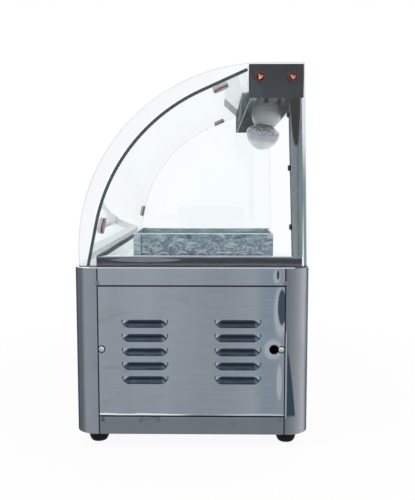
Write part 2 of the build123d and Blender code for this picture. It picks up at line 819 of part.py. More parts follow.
# Side panes: a quarter-round outline with a slightly leaning back edge
pane_front_bottom = pane_centre_y - sqrt(pane_radius**2 - (pane_bottom - pane_centre_z) ** 2)
pane_mid = 55
cap_screw_z = pane_top - cap_screw_drop
cap_screws_at = [(beam_centre_y + s * cap_screw_spacing / 2, cap_screw_z) for s in (-1, 1)]
with BuildPart() as side_pane:
    with BuildSketch(Plane.YZ.offset(pane_inner_x)):
        with BuildLine():
            l1 = ThreePointArc(
                (pane_front_bottom, pane_bottom),
                (
                    pane_centre_y - pane_radius * sin(radians(pane_mid)),
                    pane_centre_z + pane_radius * cos(radians(pane_mid)),
                ),
                (pane_centre_y, pane_top),
            )
            Polyline(l1 @ 1, (pane_rear_top, pane_top), (pane_rear_bottom, pane_bottom), l1 @ 0)
        make_face()
        with Locations(*cap_screws_at):
            Circle(cap_screw_diameter / 2 + seam, mode=Mode.SUBTRACT)
    extrude(amount=pane_thickness)
save(side_pane.part, "side_pane_right")
with BuildPart() as side_pane_left:
    mirror(side_pane.part, about=Plane.YZ)
save(side_pane_left.part, "side_pane_left")

# Curved front glass: a leaning leg, one long bend and a sloping roof, all tangent
leg = Vector(cos(radians(leg_angle)), sin(radians(leg_angle)))
leg_normal = Vector(leg.Y, -leg.X)
roof = Vector(cos(radians(roof_angle)), sin(radians(roof_angle)))
roof_normal = Vector(roof.Y, -roof.X)
middle_angle = radians((leg_angle + roof_angle) / 2)
middle_normal = Vector(sin(middle_angle), -cos(middle_angle))
glass_foot = Vector(glass_foot_y, deck_top + seam - leg_normal.Y * glass_thickness)
bend_start = glass_foot + leg * glass_leg
bend_centre = bend_start + leg_normal * glass_radius
bend_end = bend_centre - roof_normal * glass_radius
roof_length = (beam_front - 2 * seam - bend_end.X) / roof.X
roof_end = bend_end + roof * (roof_length - 2)
with BuildPart() as front_glass:
    with BuildSketch(Plane.YZ.offset(-pane_inner_x + seam)):
        with BuildLine():
            inner_radius = glass_radius - glass_thickness
            Line(glass_foot, bend_start)
            ThreePointArc(bend_start, bend_centre - middle_normal * glass_radius, bend_end)
            roof_outward = roof_normal * glass_thickness
            Polyline(bend_end, roof_end, roof_end + roof_outward, bend_end + roof_outward)
            ThreePointArc(
                bend_end + roof_normal * glass_thickness,
                bend_centre - middle_normal * inner_radius,
                bend_start + leg_normal * glass_thickness,
            )
            leg_outward = leg_normal * glass_thickness
            Polyline(bend_start + leg_outward, glass_foot + leg_outward, glass_foot)
        make_face()
    extrude(amount=2 * (pane_inner_x - seam))
save(front_glass.part, "front_glass")

stud_x = pane_inner_x - stud_inset
leg_stud = glass_foot + leg * stud_leg_distance + leg_normal * (glass_thickness + seam)
roof_stud = bend_end + roof * ((stud_roof_y - bend_end.X) / roof.X) + roof_normal * (glass_thickness + seam)
with BuildPart() as glass_studs:
    for point, normal in ((leg_stud, leg_normal), (roof_stud, roof_normal)):
        for x in (-stud_x, stud_x):
            stud_face = Plane(origin=(x, point.X, point.Y), x_dir=(1, 0, 0), z_dir=(0, normal.X, normal.Y))
            with BuildSketch(stud_face):
                Circle(stud_diameter / 2)
            extrude(amount=stud_thickness)
save(glass_studs.part, "glass_studs")

# Top beam: an inverted channel with returned lips, closed by a cap inside each pane
cap_x = pane_inner_x - sheet
with BuildPart() as top_beam:
    with BuildSketch(Plane.YZ.offset(-cap_x + seam)):
        with Locations((beam_centre_y, (beam_top + beam_bottom) / 2)):
            Rectangle(beam_depth, beam_height)
            Rectangle(beam_depth - 2 * sheet, beam_height - 2 * sheet, mode=Mode.SUBTRACT)
        with Locations((beam_centre_y, beam_bottom + sheet / 2)):
            Rectangle(beam_depth - 2 * beam_lip, sheet, mode=Mode.SUBTRACT)
    extrude(amount=2 * (cap_x - seam))
save(top_beam.part, "top_beam")

for side, x_sign in (("right", 1), ("left", -1)):
    with BuildPart() as beam_cap:
        with BuildSketch(Plane.YZ.offset(x_sign * cap_x)):
            with Locations((beam_centre_y, (beam_top + beam_bottom) / 2)):
                RectangleRounded(beam_depth, beam_height, 2)
            with Locations(*cap_screws_at):
                Circle(cap_screw_diameter / 2 + seam, mode=Mode.SUBTRACT)
        extrude(amount=x_sign * sheet)
    save(beam_cap.part, f"beam_cap_{side}")

with BuildPart() as cap_washers:
    with BuildSketch(Plane.YZ.offset(pane_outer_x)):
        with Locations(*cap_screws_at):
            Circle(washer_diameter / 2)
            Circle(cap_screw_diameter / 2 + seam, mode=Mode.SUBTRACT)
    extrude(amount=washer_thickness)
    mirror(about=Plane.YZ)
save(cap_washers.part, "cap_washers")

head_x = pane_outer_x + washer_thickness
with BuildPart() as dome_screw:
    with BuildSketch(Plane.XZ):
        with BuildLine():
            shank = cap_screw_diameter / 2
            Polyline((0, head_height), (0, -cap_screw_length), (shank, -cap_screw_length), (shank, 0),
                     (cap_head_diameter / 2, 0))
            dome_arc(cap_head_diameter / 2, 0, head_height)
        make_face()
    revolve(axis=Axis.Z)
with BuildPart() as cap_screws:
    with Locations(Plane(origin=(head_x, 0, 0), x_dir=(0, 1, 0), z_dir=(1, 0, 0))):
        with Locations(*cap_screws_at):
            add(dome_screw.part)
    mirror(about=Plane.YZ)
save(cap_screws.part, "cap_screws")

# Wiring post between the rim and the beam, leaning with the back edge of the pane
post_outer_x = pane_inner_x - 2 * seam
post_profile = [
    (post_foot_rear - post_foot_depth, rim_top),
    (post_foot_rear, rim_top),
    (post_top_rear, beam_bottom - seam),
    (post_top_rear - post_top_depth, beam_bottom - seam),
]
with BuildPart() as wiring_post:
    with BuildSketch(Plane.YZ.offset(post_outer_x)):
        with BuildLine():
            Polyline(*post_profile, close=True)
        make_face()
    extrude(amount=-post_width)
    with BuildSketch(Plane.YZ.offset(post_outer_x - sheet)) as post_hollow:
        with BuildLine():
            Polyline(*post_profile, close=True)
        make_face()
        offset(amount=-sheet, mode=Mode.REPLACE)
    extrude(amount=-post_width, mode=Mode.SUBTRACT)
save(wiring_post.part, "wiring_post")

# Lamp under the beam: a barrel-shaped ceramic holder with two terminal ears and a domed bulb
ceiling = beam_top - sheet
tilt_rise = rose_diameter / 2 * sin(radians(lamp_tilt)) + seam
lamp_plumb = Plane(origin=(lamp_x, lamp_y, ceiling - tilt_rise), x_dir=(1, 0, 0), z_dir=(0, 0, -1))
lamp_axis = lamp_plumb.rotated((-lamp_tilt, 0, 0))
bulb_radius = bulb_diameter / 2
with BuildPart() as holder_shape:
    with BuildSketch(Plane.XZ):
        with BuildLine():
            barrel = ThreePointArc(
                (rose_diameter / 2, rose_height),
                (holder_waist_diameter / 2, holder_waist_height),
                (holder_mouth_diameter / 2, holder_height),
            )
            Polyline(barrel @ 1, (0, holder_height), (0, 0), (rose_diameter / 2, 0), barrel @ 0)
        make_face()
    revolve(axis=Axis.Z)
    with BuildSketch(Plane.XY.offset(1)):
        with Locations((rose_diameter / 2, 0)):
            with GridLocations(1, ear_spacing, 1, 2):
                Rectangle(rose_diameter / 3, ear_width)
    extrude(amount=rose_height - 2)
with BuildPart() as lamp_holder:
    with Locations(lamp_axis):
        add(holder_shape.part)
save(lamp_holder.part, "lamp_holder")

with BuildPart() as bulb:
    with BuildSketch(Plane.XZ):
        with BuildLine():
            globe_centre = (0, bulb_length - bulb_radius)
            globe = CenterArc(globe_centre, bulb_radius, -bulb_shoulder, quarter_turn + bulb_shoulder)
            Polyline(globe @ 1, (0, 0), (bulb_neck_diameter / 2, 0), globe @ 0)
        make_face()
    revolve(axis=Axis.Z)
bulb_shape = bulb.part
with BuildPart() as bulb:
    with Locations(lamp_axis.offset(holder_height + seam)):
        add(bulb_shape)
save(bulb.part, "bulb")
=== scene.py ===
import json
import math

import bmesh
import bpy
from mathutils import Matrix, Vector


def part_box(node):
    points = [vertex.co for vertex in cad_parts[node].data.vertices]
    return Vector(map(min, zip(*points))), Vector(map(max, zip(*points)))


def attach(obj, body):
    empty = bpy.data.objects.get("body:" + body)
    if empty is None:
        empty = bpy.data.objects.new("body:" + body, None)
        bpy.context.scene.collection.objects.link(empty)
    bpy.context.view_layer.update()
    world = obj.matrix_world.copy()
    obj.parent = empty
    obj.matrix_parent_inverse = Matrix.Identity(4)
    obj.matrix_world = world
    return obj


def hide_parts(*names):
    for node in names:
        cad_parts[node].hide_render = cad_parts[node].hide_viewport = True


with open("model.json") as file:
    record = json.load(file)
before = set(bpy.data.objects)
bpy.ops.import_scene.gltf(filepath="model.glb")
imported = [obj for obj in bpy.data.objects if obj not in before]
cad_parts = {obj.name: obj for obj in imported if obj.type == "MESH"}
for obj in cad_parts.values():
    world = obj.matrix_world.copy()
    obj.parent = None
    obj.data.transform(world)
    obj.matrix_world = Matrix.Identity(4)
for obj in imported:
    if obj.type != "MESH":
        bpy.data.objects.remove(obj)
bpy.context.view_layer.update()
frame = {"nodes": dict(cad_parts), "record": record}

MM = 0.001


def add(name, data):
    """A new object in the scene."""
    made = bpy.data.objects.new(name, data)
    bpy.context.scene.collection.objects.link(made)
    return made


# ---- Camera: the photograph's viewpoint, level with the hood, square to the drive end ----
photo_height = 500
focal_pixels = 668.34
camera_place = Vector((1.1189, 0.0320, 0.3362))
camera_yaw = math.radians(0.80)
camera_pitch = math.radians(5.64)
sensor_width = 36


def make_camera():
    forward = Vector((
        -math.cos(camera_yaw) * math.cos(camera_pitch),
        -math.sin(camera_yaw) * math.cos(camera_pitch),
        -math.sin(camera_pitch),
    ))
    right = Vector((-math.sin(camera_yaw), math.cos(camera_yaw), 0))
    up = right.cross(forward)
    data = bpy.data.cameras.new("camera")
    data.sensor_width = sensor_width
    data.lens = focal_pixels * sensor_width / photo_height
    camera = add("camera", data)
    camera.matrix_world = Matrix.Translation(camera_place) @ Matrix((right, up, -forward)).transposed().to_4x4()
    bpy.context.scene.camera = camera


make_camera()

# ---- Sizes read from the frame ----
deck_low, deck_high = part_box("deck")
panel_low, panel_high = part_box("side_panel_right")
pane_low, pane_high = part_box("side_pane_right")
post_low, post_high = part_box("wiring_post")
housing_low, housing_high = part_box("drive_housing")
beam_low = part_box("top_beam")[0]
casing_x, column_y = panel_high.x, panel_high.y
deck_floor = deck_low.z + 1.5 * MM

# ---- Sizes of the solids that their boxes don't give ----
seam = 0.3 * MM  # the gap round a side panel
louvre_zone, louvre_centre = 95 * MM, 58.75 * MM  # how far from the middle the louvres end, and where one is centred
louvre_pitch, louvre_height = 18.2 * MM, 10.4 * MM
bend_y, bend_z, bend_reach = 106.4 * MM, 239.6 * MM, 233 * MM  # the front glass's bend: its centre and outer radius
pane_lean = 0.021  # how far the panes' rear edge leans forwards for each metre it rises


def in_louvre(face):
    return abs(face.center.x) < casing_x - 0.05 * MM and abs(face.center.y) < louvre_zone


panel_mesh = frame["nodes"]["side_panel_right"].data
# Where the slope of the topmost louvre begins
louvre_top = max(panel_mesh.vertices[i].co.z for face in panel_mesh.polygons
                 if in_louvre(face) and face.center.z < panel_high.z - 5 * MM and abs(face.normal.x) < 0.97
                 for i in face.vertices)


# ---- Shader helpers ----
class Shade:
    """A material with one Principled shader and short calls for the nodes that feed it."""

    def __init__(self, name, **constants):
        self.material = bpy.data.materials.new(name)
        self.material.use_nodes = True
        self.tree = self.material.node_tree
        self.shader = self.tree.nodes["Principled BSDF"]
        for socket, value in constants.items():
            self.shader.inputs[socket.replace("_", " ")].default_value = value
        self.place = self.node("ShaderNodeTexCoord").outputs["Object"]
        split = self.node("ShaderNodeSeparateXYZ", Vector=self.place)
        self.x, self.y, self.z = split.outputs

    def node(self, kind, **inputs):
        made = self.tree.nodes.new(kind)
        for name, value in inputs.items():
            self.feed(made.inputs[name.replace("_", " ")], value)
        return made

    def feed(self, socket, value):
        if isinstance(value, bpy.types.NodeSocket):
            self.tree.links.new(value, socket)
        else:
            socket.default_value = value

    def set(self, name, value):
        self.feed(self.shader.inputs[name], value)

    def math(self, operation, a, b=0.0):
        made = self.node("ShaderNodeMath")
        made.operation = operation
        self.feed(made.inputs[0], a)
        self.feed(made.inputs[1], b)
        return made.outputs[0]

    def plus(self, a, b):
        return self.math("ADD", a, b)

    def minus(self, a, b):
        return self.math("SUBTRACT", a, b)

    def times(self, product, *factors):
        for factor in factors:
            product = self.math("MULTIPLY", product, factor)
        return product

    def squares(self, a, b):
        return self.plus(self.times(a, a), self.times(b, b))

    def length(self, a, b):
        return self.math("SQRT", self.squares(a, b))

    def swing(self, noise, reach):
        """Noise as a shift of up to half the reach to either side."""
        return self.times(self.minus(noise, 0.5), reach)

    def mapped(self, value, low, high, to_low=0.0, to_high=1.0):
        """A value carried smoothly from one range to another, and held at its ends."""
        made = self.node("ShaderNodeMapRange", Value=value, From_Min=low, From_Max=high, To_Min=to_low,
                         To_Max=to_high)
        made.interpolation_type = "SMOOTHSTEP"
        return made.outputs[0]

    def mix(self, share, a, b):
        """Colour a, going over to colour b as the share rises to 1."""
        made = self.node("ShaderNodeMix")
        made.data_type = "RGBA"
        self.feed(made.inputs[0], share)
        self.feed(made.inputs[6], a)
        self.feed(made.inputs[7], b)
        return made.outputs[2]

    def noise(self, stretch, detail=3, distortion=0):
        """Noise whose features are about 1 / stretch metres long along each axis."""
        scaled = self.node("ShaderNodeMapping", Vector=self.place, Scale=stretch)
        return self.node("ShaderNodeTexNoise", Vector=scaled.outputs[0], Scale=1.0, Detail=detail,
                         Distortion=distortion).outputs[0]

    def base(self, colour):
        self.colour = colour
        self.set("Base Color", colour)

    def tones(self, share, *stops):
        """A base colour that runs through the stops, each a place and a colour as in srgb, as the share rises."""
        made = self.node("ShaderNodeValToRGB", Fac=share)
        elements = made.color_ramp.elements
        while len(elements) < len(stops):
            elements.new(0.5)
        for element, (place, *colour) in zip(elements, stops):
            element.position = place
            element.color = srgb(*colour)
        self.base(made.outputs[0])

    def two_tone(self, noise, low, high):
        """One base colour where the noise is low and another where it is high."""
        self.tones(noise, (0.3, *low), (0.7, *high))

    def paint(self, share, *colour):
        """Lays a colour over the base colour for the share of the surface that is given."""
        self.base(self.mix(share, self.colour, srgb(*colour)))

    def roughen(self, noise, low, high):
        """Roughness that follows noise."""
        self.set("Roughness", self.mapped(noise, 0.3, 0.7, low, high))

    def bump(self, height, strength, distance):
        self.set("Normal", self.node("ShaderNodeBump", Height=height, Strength=strength, Distance=distance).outputs[0])

    def spot(self, centre_y, centre_z, reach_y, reach_z, soft=0.25):
        """1 inside an ellipse on an end of the object and 0 outside it, with a soft edge."""
        across = self.math("DIVIDE", self.minus(self.y, centre_y), reach_y)
        upward = self.math("DIVIDE", self.minus(self.z, centre_z), reach_z)
        return self.mapped(self.squares(across, upward), 1 - soft, 1 + soft, 1.0, 0.0)

    def band(self, value, low, high, soft):
        """1 where value lies between low and high and 0 outside, with soft edges."""
        rising = self.mapped(value, low - soft, low + soft)
        falling = self.mapped(value, high - soft, high + soft, 1.0, 0.0)
        return self.times(rising, falling)

    def mirrored(self):
        """1 where the surface is seen in a reflection, and 0 where it is seen straight on."""
        return self.node("ShaderNodeLightPath").outputs["Is Reflection Ray"]

    def overlay(self, share, other):
        """Puts another shader over the Principled one for the share of the surface that is given."""
        chosen = self.node("ShaderNodeMixShader")
        for socket, source in zip(chosen.inputs, (share, self.shader.outputs[0], other.outputs[0])):
            self.tree.links.new(source, socket)
        self.tree.links.new(chosen.outputs[0], self.tree.nodes["Material Output"].inputs[0])

    def see_through(self, share, tint):
        """Lets light straight through for the share of the surface that is given."""
        self.overlay(share, self.node("ShaderNodeBsdfTransparent", Color=tint))


def srgb(red, green, blue):
    """A colour written as it looks on screen, 0 to 255, as linear light."""
    def linear(value):
        value /= 255
        return value / 12.92 if value <= 0.04045 else ((value + 0.055) / 1.055) ** 2.4
    return (linear(red), linear(green), linear(blue), 1.0)


# ---- Materials ----
def casing_steel():
    """Polished stainless sheet with painted soft upright reflections, smudges and painted reflections of a few warps
    near its rear edge.
    """
    s = Shade("casing_steel", Metallic=1.0, Specular_Tint=(0.55, 0.58, 0.62, 1))
    streaks = s.noise((3, 9, 1.4), 2, 0.5)
    s.tones(streaks, (0.30, 127, 136, 145), (0.52, 137, 146, 155), (0.74, 148, 156, 164))
    rear = s.band(s.y, 84 * MM, 110 * MM, 9 * MM)
    s.paint(s.times(rear, 0.7), 116, 132, 144)
    smudges = s.noise((14, 14, 30), 4, 1.4)
    s.paint(s.mapped(smudges, 0.56, 0.74, 0.0, 0.35), 120, 121, 124)
    grain = s.noise((40, 30, 700), 2)
    s.paint(s.mapped(grain, 0.35, 0.65, 0.0, 0.10), 165, 170, 178)
    lowest = s.mapped(s.z, 36 * MM, 46 * MM, 0.8, 0.0)
    s.paint(lowest, 102, 109, 115)
    stain = s.mapped(s.noise((60, 60, 90), 4, 1.5), 0.45, 0.6, 0.0, 0.6)
    stain_z, stain_height = 36 * MM, 7 * MM
    for y, reach_y in ((-53 * MM, 15 * MM), (52 * MM, 6 * MM)):
        s.paint(s.times(s.spot(y, stain_z, reach_y, stain_height, 0.5), stain), 86, 84, 80)
    # A painted pale reflection along the panel's lower edge, broken up and fading towards the rear
    low_edge = s.plus(s.z, s.swing(s.noise((1, 24, 1), 2), 4 * MM))
    edge_reflection = s.band(low_edge, panel_low.z + 0.8 * MM, panel_low.z + 3.2 * MM, 0.7 * MM)
    broken = s.mapped(s.noise((1, 9, 1), 1), 0.36, 0.56, 0.15, 1.0)
    fading = s.mapped(s.y, -40 * MM, 50 * MM, 1.0, 0.45)
    s.paint(s.times(edge_reflection, broken, fading), 226, 230, 234)
    # Painted reflections of warps by the rear edge: y, z and their reaches in millimetres, of a pale halo and of the
    # dark core in it
    for halo, core in (
        ((112.5, 176, 8.5, 31), (114, 182, 5.2, 23)),
        ((103.4, 128, 11.5, 12.5), (104.6, 128, 6.4, 6.4)),
        ((111.5, 86, 3.4, 22), None),
        ((107, 221, 4.5, 9), (108.6, 223, 1.8, 6)),
    ):
        y, z, reach_y, reach_z = (value * MM for value in halo)
        s.paint(s.times(s.spot(y, z, reach_y, reach_z, 0.5), 0.65), 176, 180, 190)
        if core:
            y, z, reach_y, reach_z = (value * MM for value in core)
            s.paint(s.spot(y, z, reach_y, reach_z), 62, 76, 90)
    s.roughen(s.noise((60, 60, 60)), 0.12, 0.22)
    s.bump(s.noise((3, 9, 5), 1), 0.2, 0.004)
    return s.material


def corner_steel():
    """The same sheet bent round the corners, with painted upright reflections that follow the bend."""
    s = Shade("corner_steel", Metallic=1.0, Specular_Tint=(0.22, 0.24, 0.28, 1))
    across = s.plus(s.y, s.swing(s.noise((1, 1, 7), 2), 4 * MM))
    front_end, whole_depth = -150 * MM, 300 * MM
    s.tones(
        s.math("DIVIDE", s.minus(across, front_end), whole_depth),
        (0.000, 120, 124, 132), (0.013, 118, 122, 130), (0.021, 112, 116, 123), (0.028, 96, 100, 107),
        (0.034, 96, 100, 107), (0.042, 118, 122, 130), (0.050, 136, 142, 151), (0.100, 130, 137, 147),
        (0.900, 106, 112, 119), (0.930, 124, 129, 136), (0.950, 142, 146, 152), (0.966, 164, 168, 174),
        (0.976, 178, 182, 188), (0.984, 158, 164, 172), (0.992, 148, 155, 164), (1.000, 150, 157, 166),
    )
    # Painted shade and light: the dark wedge beside the rear seam, which widens downwards, and the pale strip on the
    # seam's other side
    wedge_top, wedge_drop, wedge_foot = 125 * MM, 84 * MM, 10.2 * MM
    low = s.math("MAXIMUM", s.math("DIVIDE", s.minus(wedge_top, s.z), wedge_drop), 0.0)
    past_left = s.minus(s.y, column_y + 3.2 * MM)
    past_right = s.minus(past_left, s.times(s.math("POWER", low, 0.8), wedge_foot))
    wedge = s.times(s.mapped(past_right, 0.2 * MM, 1.4 * MM, 1.0, 0.0), s.mapped(past_left, -0.6 * MM, 0.4 * MM),
                    s.band(s.z, 41 * MM, 150 * MM, 2 * MM))
    pale = s.times(s.mapped(past_left, -0.8 * MM, 0.2 * MM, 1.0, 0.0), s.band(s.z, 40 * MM, 150 * MM, 4 * MM))
    rear_only = s.math("GREATER_THAN", s.y, 0.0)
    s.paint(s.times(pale, rear_only, 0.8), 160, 166, 172)
    s.paint(s.times(wedge, rear_only), 52, 68, 80)
    smudge = s.mapped(s.noise((16, 16, 9), 4, 1), 0.5, 0.7, 0.0, 0.35)
    s.paint(smudge, 118, 114, 114)
    s.roughen(s.noise((50, 50, 50)), 0.14, 0.24)
    return s.material


def louvre_steel():
    """The pressed slopes inside the louvres: slate where they mirror the floor, a painted reflection, with painted
    highlights at the corners of their tops.
    """
    s = Shade("louvre_steel", Metallic=1.0, Specular_Tint=(0.2, 0.24, 0.28, 1))
    # How far below its own louvre's top a point lies; whole rows are added to keep the number positive
    rows = s.math("DIVIDE", s.minus(louvre_top, s.z), louvre_pitch)
    drop = s.times(s.math("FRACT", s.plus(rows, 10.001)), louvre_pitch)
    across = s.math("ABSOLUTE", s.minus(s.math("ABSOLUTE", s.y), louvre_centre))
    cloud = s.noise((60, 60, 300), 3, 0.6)
    height = s.plus(drop, s.swing(cloud, 5 * MM))
    # Painted reflection and shade running down each slope from its top
    s.tones(s.mapped(height, 0.0, louvre_height), (0.0, 66, 72, 84), (0.2, 48, 52, 64), (0.6, 52, 62, 74),
            (0.85, 62, 78, 92), (1.0, 40, 50, 60))
    # Painted highlights at the top corners of each louvre
    ear_slope, ear_start, ear_end = 0.5, 9.0 * MM, 27.4 * MM
    slope = s.minus(s.times(across, ear_slope), s.plus(drop, ear_start))
    ear_highlight = s.times(s.mapped(slope, -0.5 * MM, 0.5 * MM), s.mapped(across, ear_end, ear_end + 1 * MM, 1.0, 0.0))
    s.paint(s.times(ear_highlight, 0.9), 168, 174, 182)
    s.roughen(s.noise((80, 80, 80)), 0.3, 0.42)
    return s.material


def bright_steel():
    """Bright sheet that mirrors its white surroundings, with fine grain along the rollers."""
    s = Shade("bright_steel", Metallic=1.0)
    grain = s.noise((8, 500, 500), 2)
    s.two_tone(grain, (216, 221, 225), (238, 241, 243))
    dull = s.mapped(s.noise((9, 9, 9), 3, 0.8), 0.5, 0.72, 0.0, 0.4)
    s.paint(dull, 204, 211, 217)
    s.roughen(grain, 0.2, 0.34)
    return s.material


def deck_steel():
    """The deck's flat sheet, satin and almost white under the hood."""
    s = Shade("deck_steel", Metallic=0.3)
    cloud = s.noise((14, 14, 14), 2, 0.4)
    s.two_tone(cloud, (238, 244, 245), (250, 252, 252))
    # Outside the glass, a painted reflection of a dim room darkens the sheet, up to its edge, which has a painted pale
    # highlight
    glass_side, edge_start, front_corner = 278.5 * MM, 289.2 * MM, -122 * MM
    end = s.math("ABSOLUTE", s.x)
    dim = s.band(end, glass_side, edge_start + 0.1 * MM, 0.4 * MM)
    s.paint(s.times(dim, s.mapped(s.y, front_corner, front_corner + 4 * MM)), 74, 80, 92)
    s.paint(s.mapped(end, edge_start, edge_start + 0.5 * MM), 190, 196, 204)
    s.roughen(cloud, 0.3, 0.4)
    return s.material


def beam_steel():
    """The beam's sheet, with painted reflections of a bright room above and of a dim one below its middle."""
    s = Shade("beam_steel", Specular_IOR_Level=0.0)
    cloud = s.noise((8, 24, 40), 4, 1)
    s.tones(cloud, (0.35, 56, 68, 74), (0.5, 82, 93, 100), (0.68, 132, 142, 150))
    front = s.mapped(s.y, beam_low.y + 1.5 * MM, beam_low.y + 2.5 * MM, 1.0, 0.0)
    # Painted reflection: the front face is white above a slanting line, and on its near part where seen in a mirror
    bright_above, blend, tilt, near_part = 484 * MM, 4 * MM, 0.134, -170 * MM
    above = s.plus(s.plus(s.z, s.times(s.x, tilt)), s.swing(cloud, 8 * MM))
    bright = s.times(front, s.mapped(above, bright_above, bright_above + blend))
    near = s.mapped(s.x, near_part, near_part + 20 * MM)
    bright = s.math("MAXIMUM", bright, s.times(front, near, s.mirrored()))
    s.paint(bright, 246, 247, 250)
    s.set("Metallic", s.minus(1.0, s.times(front, s.minus(1.0, bright))))
    s.roughen(s.noise((30, 30, 30)), 0.16, 0.26)
    return s.material


def rim_steel():
    """The folded rim's walls, striped with painted reflections: a light fold, then dark, then lilac grey."""
    s = Shade("rim_steel", Metallic=1.0, Specular_Tint=(0.3, 0.32, 0.36, 1))
    height = s.math("DIVIDE", s.minus(s.z, deck_floor), deck_high.z - deck_floor)
    s.tones(
        s.plus(height, s.swing(s.noise((3, 5, 20), 2, 0.6), 0.35)),
        (0.00, 60, 64, 76), (0.14, 88, 92, 104), (0.24, 60, 64, 76), (0.34, 12, 16, 24),
        (0.66, 9, 13, 20), (0.80, 44, 48, 60), (0.93, 136, 140, 154),
    )
    # A painted glint low on the walls
    glint = s.spot(-58 * MM, deck_floor + 8 * MM, 44 * MM, 2.6 * MM)
    s.paint(s.times(glint, 0.75), 120, 124, 136)
    # Seen in a mirror, the walls are painted pale: a painted reflection
    s.paint(s.mirrored(), 232, 237, 243)
    s.roughen(s.noise((30, 30, 30)), 0.15, 0.25)
    return s.material


def satin_steel():
    """Satin-brushed sheet of the control plate and the tray front, with the grain along the front."""
    s = Shade("satin_steel", Metallic=1.0)
    grain = s.noise((6, 600, 600), 2)
    s.two_tone(grain, (176, 182, 188), (206, 211, 216))
    dull = s.mapped(s.noise((9, 9, 14), 3, 0.8), 0.48, 0.72, 0.0, 0.45)
    s.paint(dull, 158, 166, 174)
    s.roughen(grain, 0.28, 0.4)
    return s.material


def rim_top_steel():
    """The rim's flat top in front of the rollers, with a painted reflection of the dim underside of the beam."""
    s = Shade("rim_top_steel", Roughness=0.5, Specular_IOR_Level=0.0)
    streak = s.noise((9, 160, 9), 3, 0.5)
    s.tones(streak, (0.3, 34, 50, 62), (0.5, 62, 80, 92), (0.66, 110, 126, 137))
    # Seen in a mirror, the top is painted pale: a painted reflection
    s.paint(s.mirrored(), 232, 236, 241)
    return s.material


def dark_steel():
    """The beam's end caps: polished sheet, painted dark for the dark room it mirrors."""
    s = Shade("dark_steel", Metallic=1.0, Specular_Tint=(0.4, 0.5, 0.6, 1))
    cloud = s.noise((9, 22, 14), 2, 0.5)
    s.tones(cloud, (0.3, 8, 14, 21), (0.5, 18, 25, 33), (0.75, 46, 53, 62))
    s.roughen(cloud, 0.16, 0.28)
    return s.material


def housing_steel():
    """Engine-turned sheet: rows of overlapping swirls, brushed through with fine scratches."""
    s = Shade("housing_steel", Metallic=1.0)
    pitch, ring_pitch, reach = 24.5 * MM, 5.2 * MM, 13 * MM
    cloud = s.noise((10, 60, 110), 5, 1.2)
    s.tones(cloud, (0.34, 70, 92, 106), (0.5, 112, 131, 143), (0.66, 168, 180, 186))
    wobble = s.times(s.noise((40, 55, 70), 3, 0.5), 6 * MM)
    for shift, base, share in ((0.0, 240 * MM, 0.6), (0.42, 252 * MM, 0.42), (0.15, 262 * MM, 0.26)):
        cell = s.minus(s.math("FRACT", s.plus(s.math("DIVIDE", s.y, pitch), shift + 10)), 0.5)
        across = s.times(cell, pitch)
        upward = s.minus(s.z, base)
        distance = s.plus(s.length(across, upward), wobble)
        rings = s.math("SINE", s.times(distance, 2 * math.pi / ring_pitch))
        inside = s.mapped(distance, reach, reach + 5 * MM, 1.0, 0.0)
        above = s.mapped(upward, -3 * MM, 2 * MM)
        amount = s.times(inside, above, s.mapped(rings, -0.5, 0.95, 0.0, share))
        s.paint(amount, 190, 202, 208)
    scratches = s.noise((20, 40, 700), 2)
    s.paint(s.mapped(scratches, 0.5, 0.66, 0.0, 0.5), 80, 98, 112)
    # Painted light and shade of a fold near the front: a pale strip in front of it and a dark line along it
    fold = housing_low.y + 10 * MM
    s.paint(s.mapped(s.y, fold - 1 * MM, fold, 0.45, 0.0), 168, 184, 194)
    s.paint(s.band(s.y, fold - 0.5 * MM, fold + 1.0 * MM, 0.4 * MM), 66, 84, 98)
    # A painted highlight along the top edge
    top_edge_highlight = s.mapped(s.z, housing_high.z - 1.4 * MM, housing_high.z - 0.8 * MM, 0.0, 0.8)
    s.paint(top_edge_highlight, 222, 230, 234)
    s.roughen(scratches, 0.22, 0.4)
    s.bump(scratches, 0.15, 0.0006)
    return s.material


def bearing_steel():
    """The tall bearing plate behind the housing, blue-grey with a painted shadow line where the lid meets it."""
    s = Shade("bearing_steel", Metallic=1.0, Specular_Tint=(0.6, 0.66, 0.7, 1))
    streaks = s.noise((10, 26, 160), 3, 0.5)
    s.two_tone(streaks, (112, 134, 146), (160, 178, 187))
    lid_top = 268 * MM
    # Painted shade where the lid meets the plate, fading upwards
    s.paint(s.mapped(s.z, lid_top, lid_top + 0.8 * MM, 0.8, 0.0), 52, 72, 84)
    s.roughen(streaks, 0.2, 0.34)
    return s.material


def plated(name, dark, light, roughness):
    """A plated or polished metal with faint mottling."""
    s = Shade(name, Metallic=1.0)
    cloud = s.noise((60, 60, 60), 3)
    s.two_tone(cloud, dark, light)
    s.roughen(cloud, roughness * 0.7, roughness * 1.3)
    return s.material


def dome_metal(name, *stops):
    """Plating on a small dome, painted bright where it faces the room and painted dark round its foot."""
    s = Shade(name, Metallic=1.0, Specular_Tint=(0.4, 0.4, 0.4, 1))
    turned = s.node("ShaderNodeLayerWeight", Blend=0.35).outputs["Facing"]
    mottle = s.swing(s.noise((500, 700, 700), 2), 0.5)
    s.tones(s.plus(turned, mottle), *stops)
    s.set("Roughness", s.mapped(mottle, -0.1, 0.1, 0.16, 0.26))
    return s.material


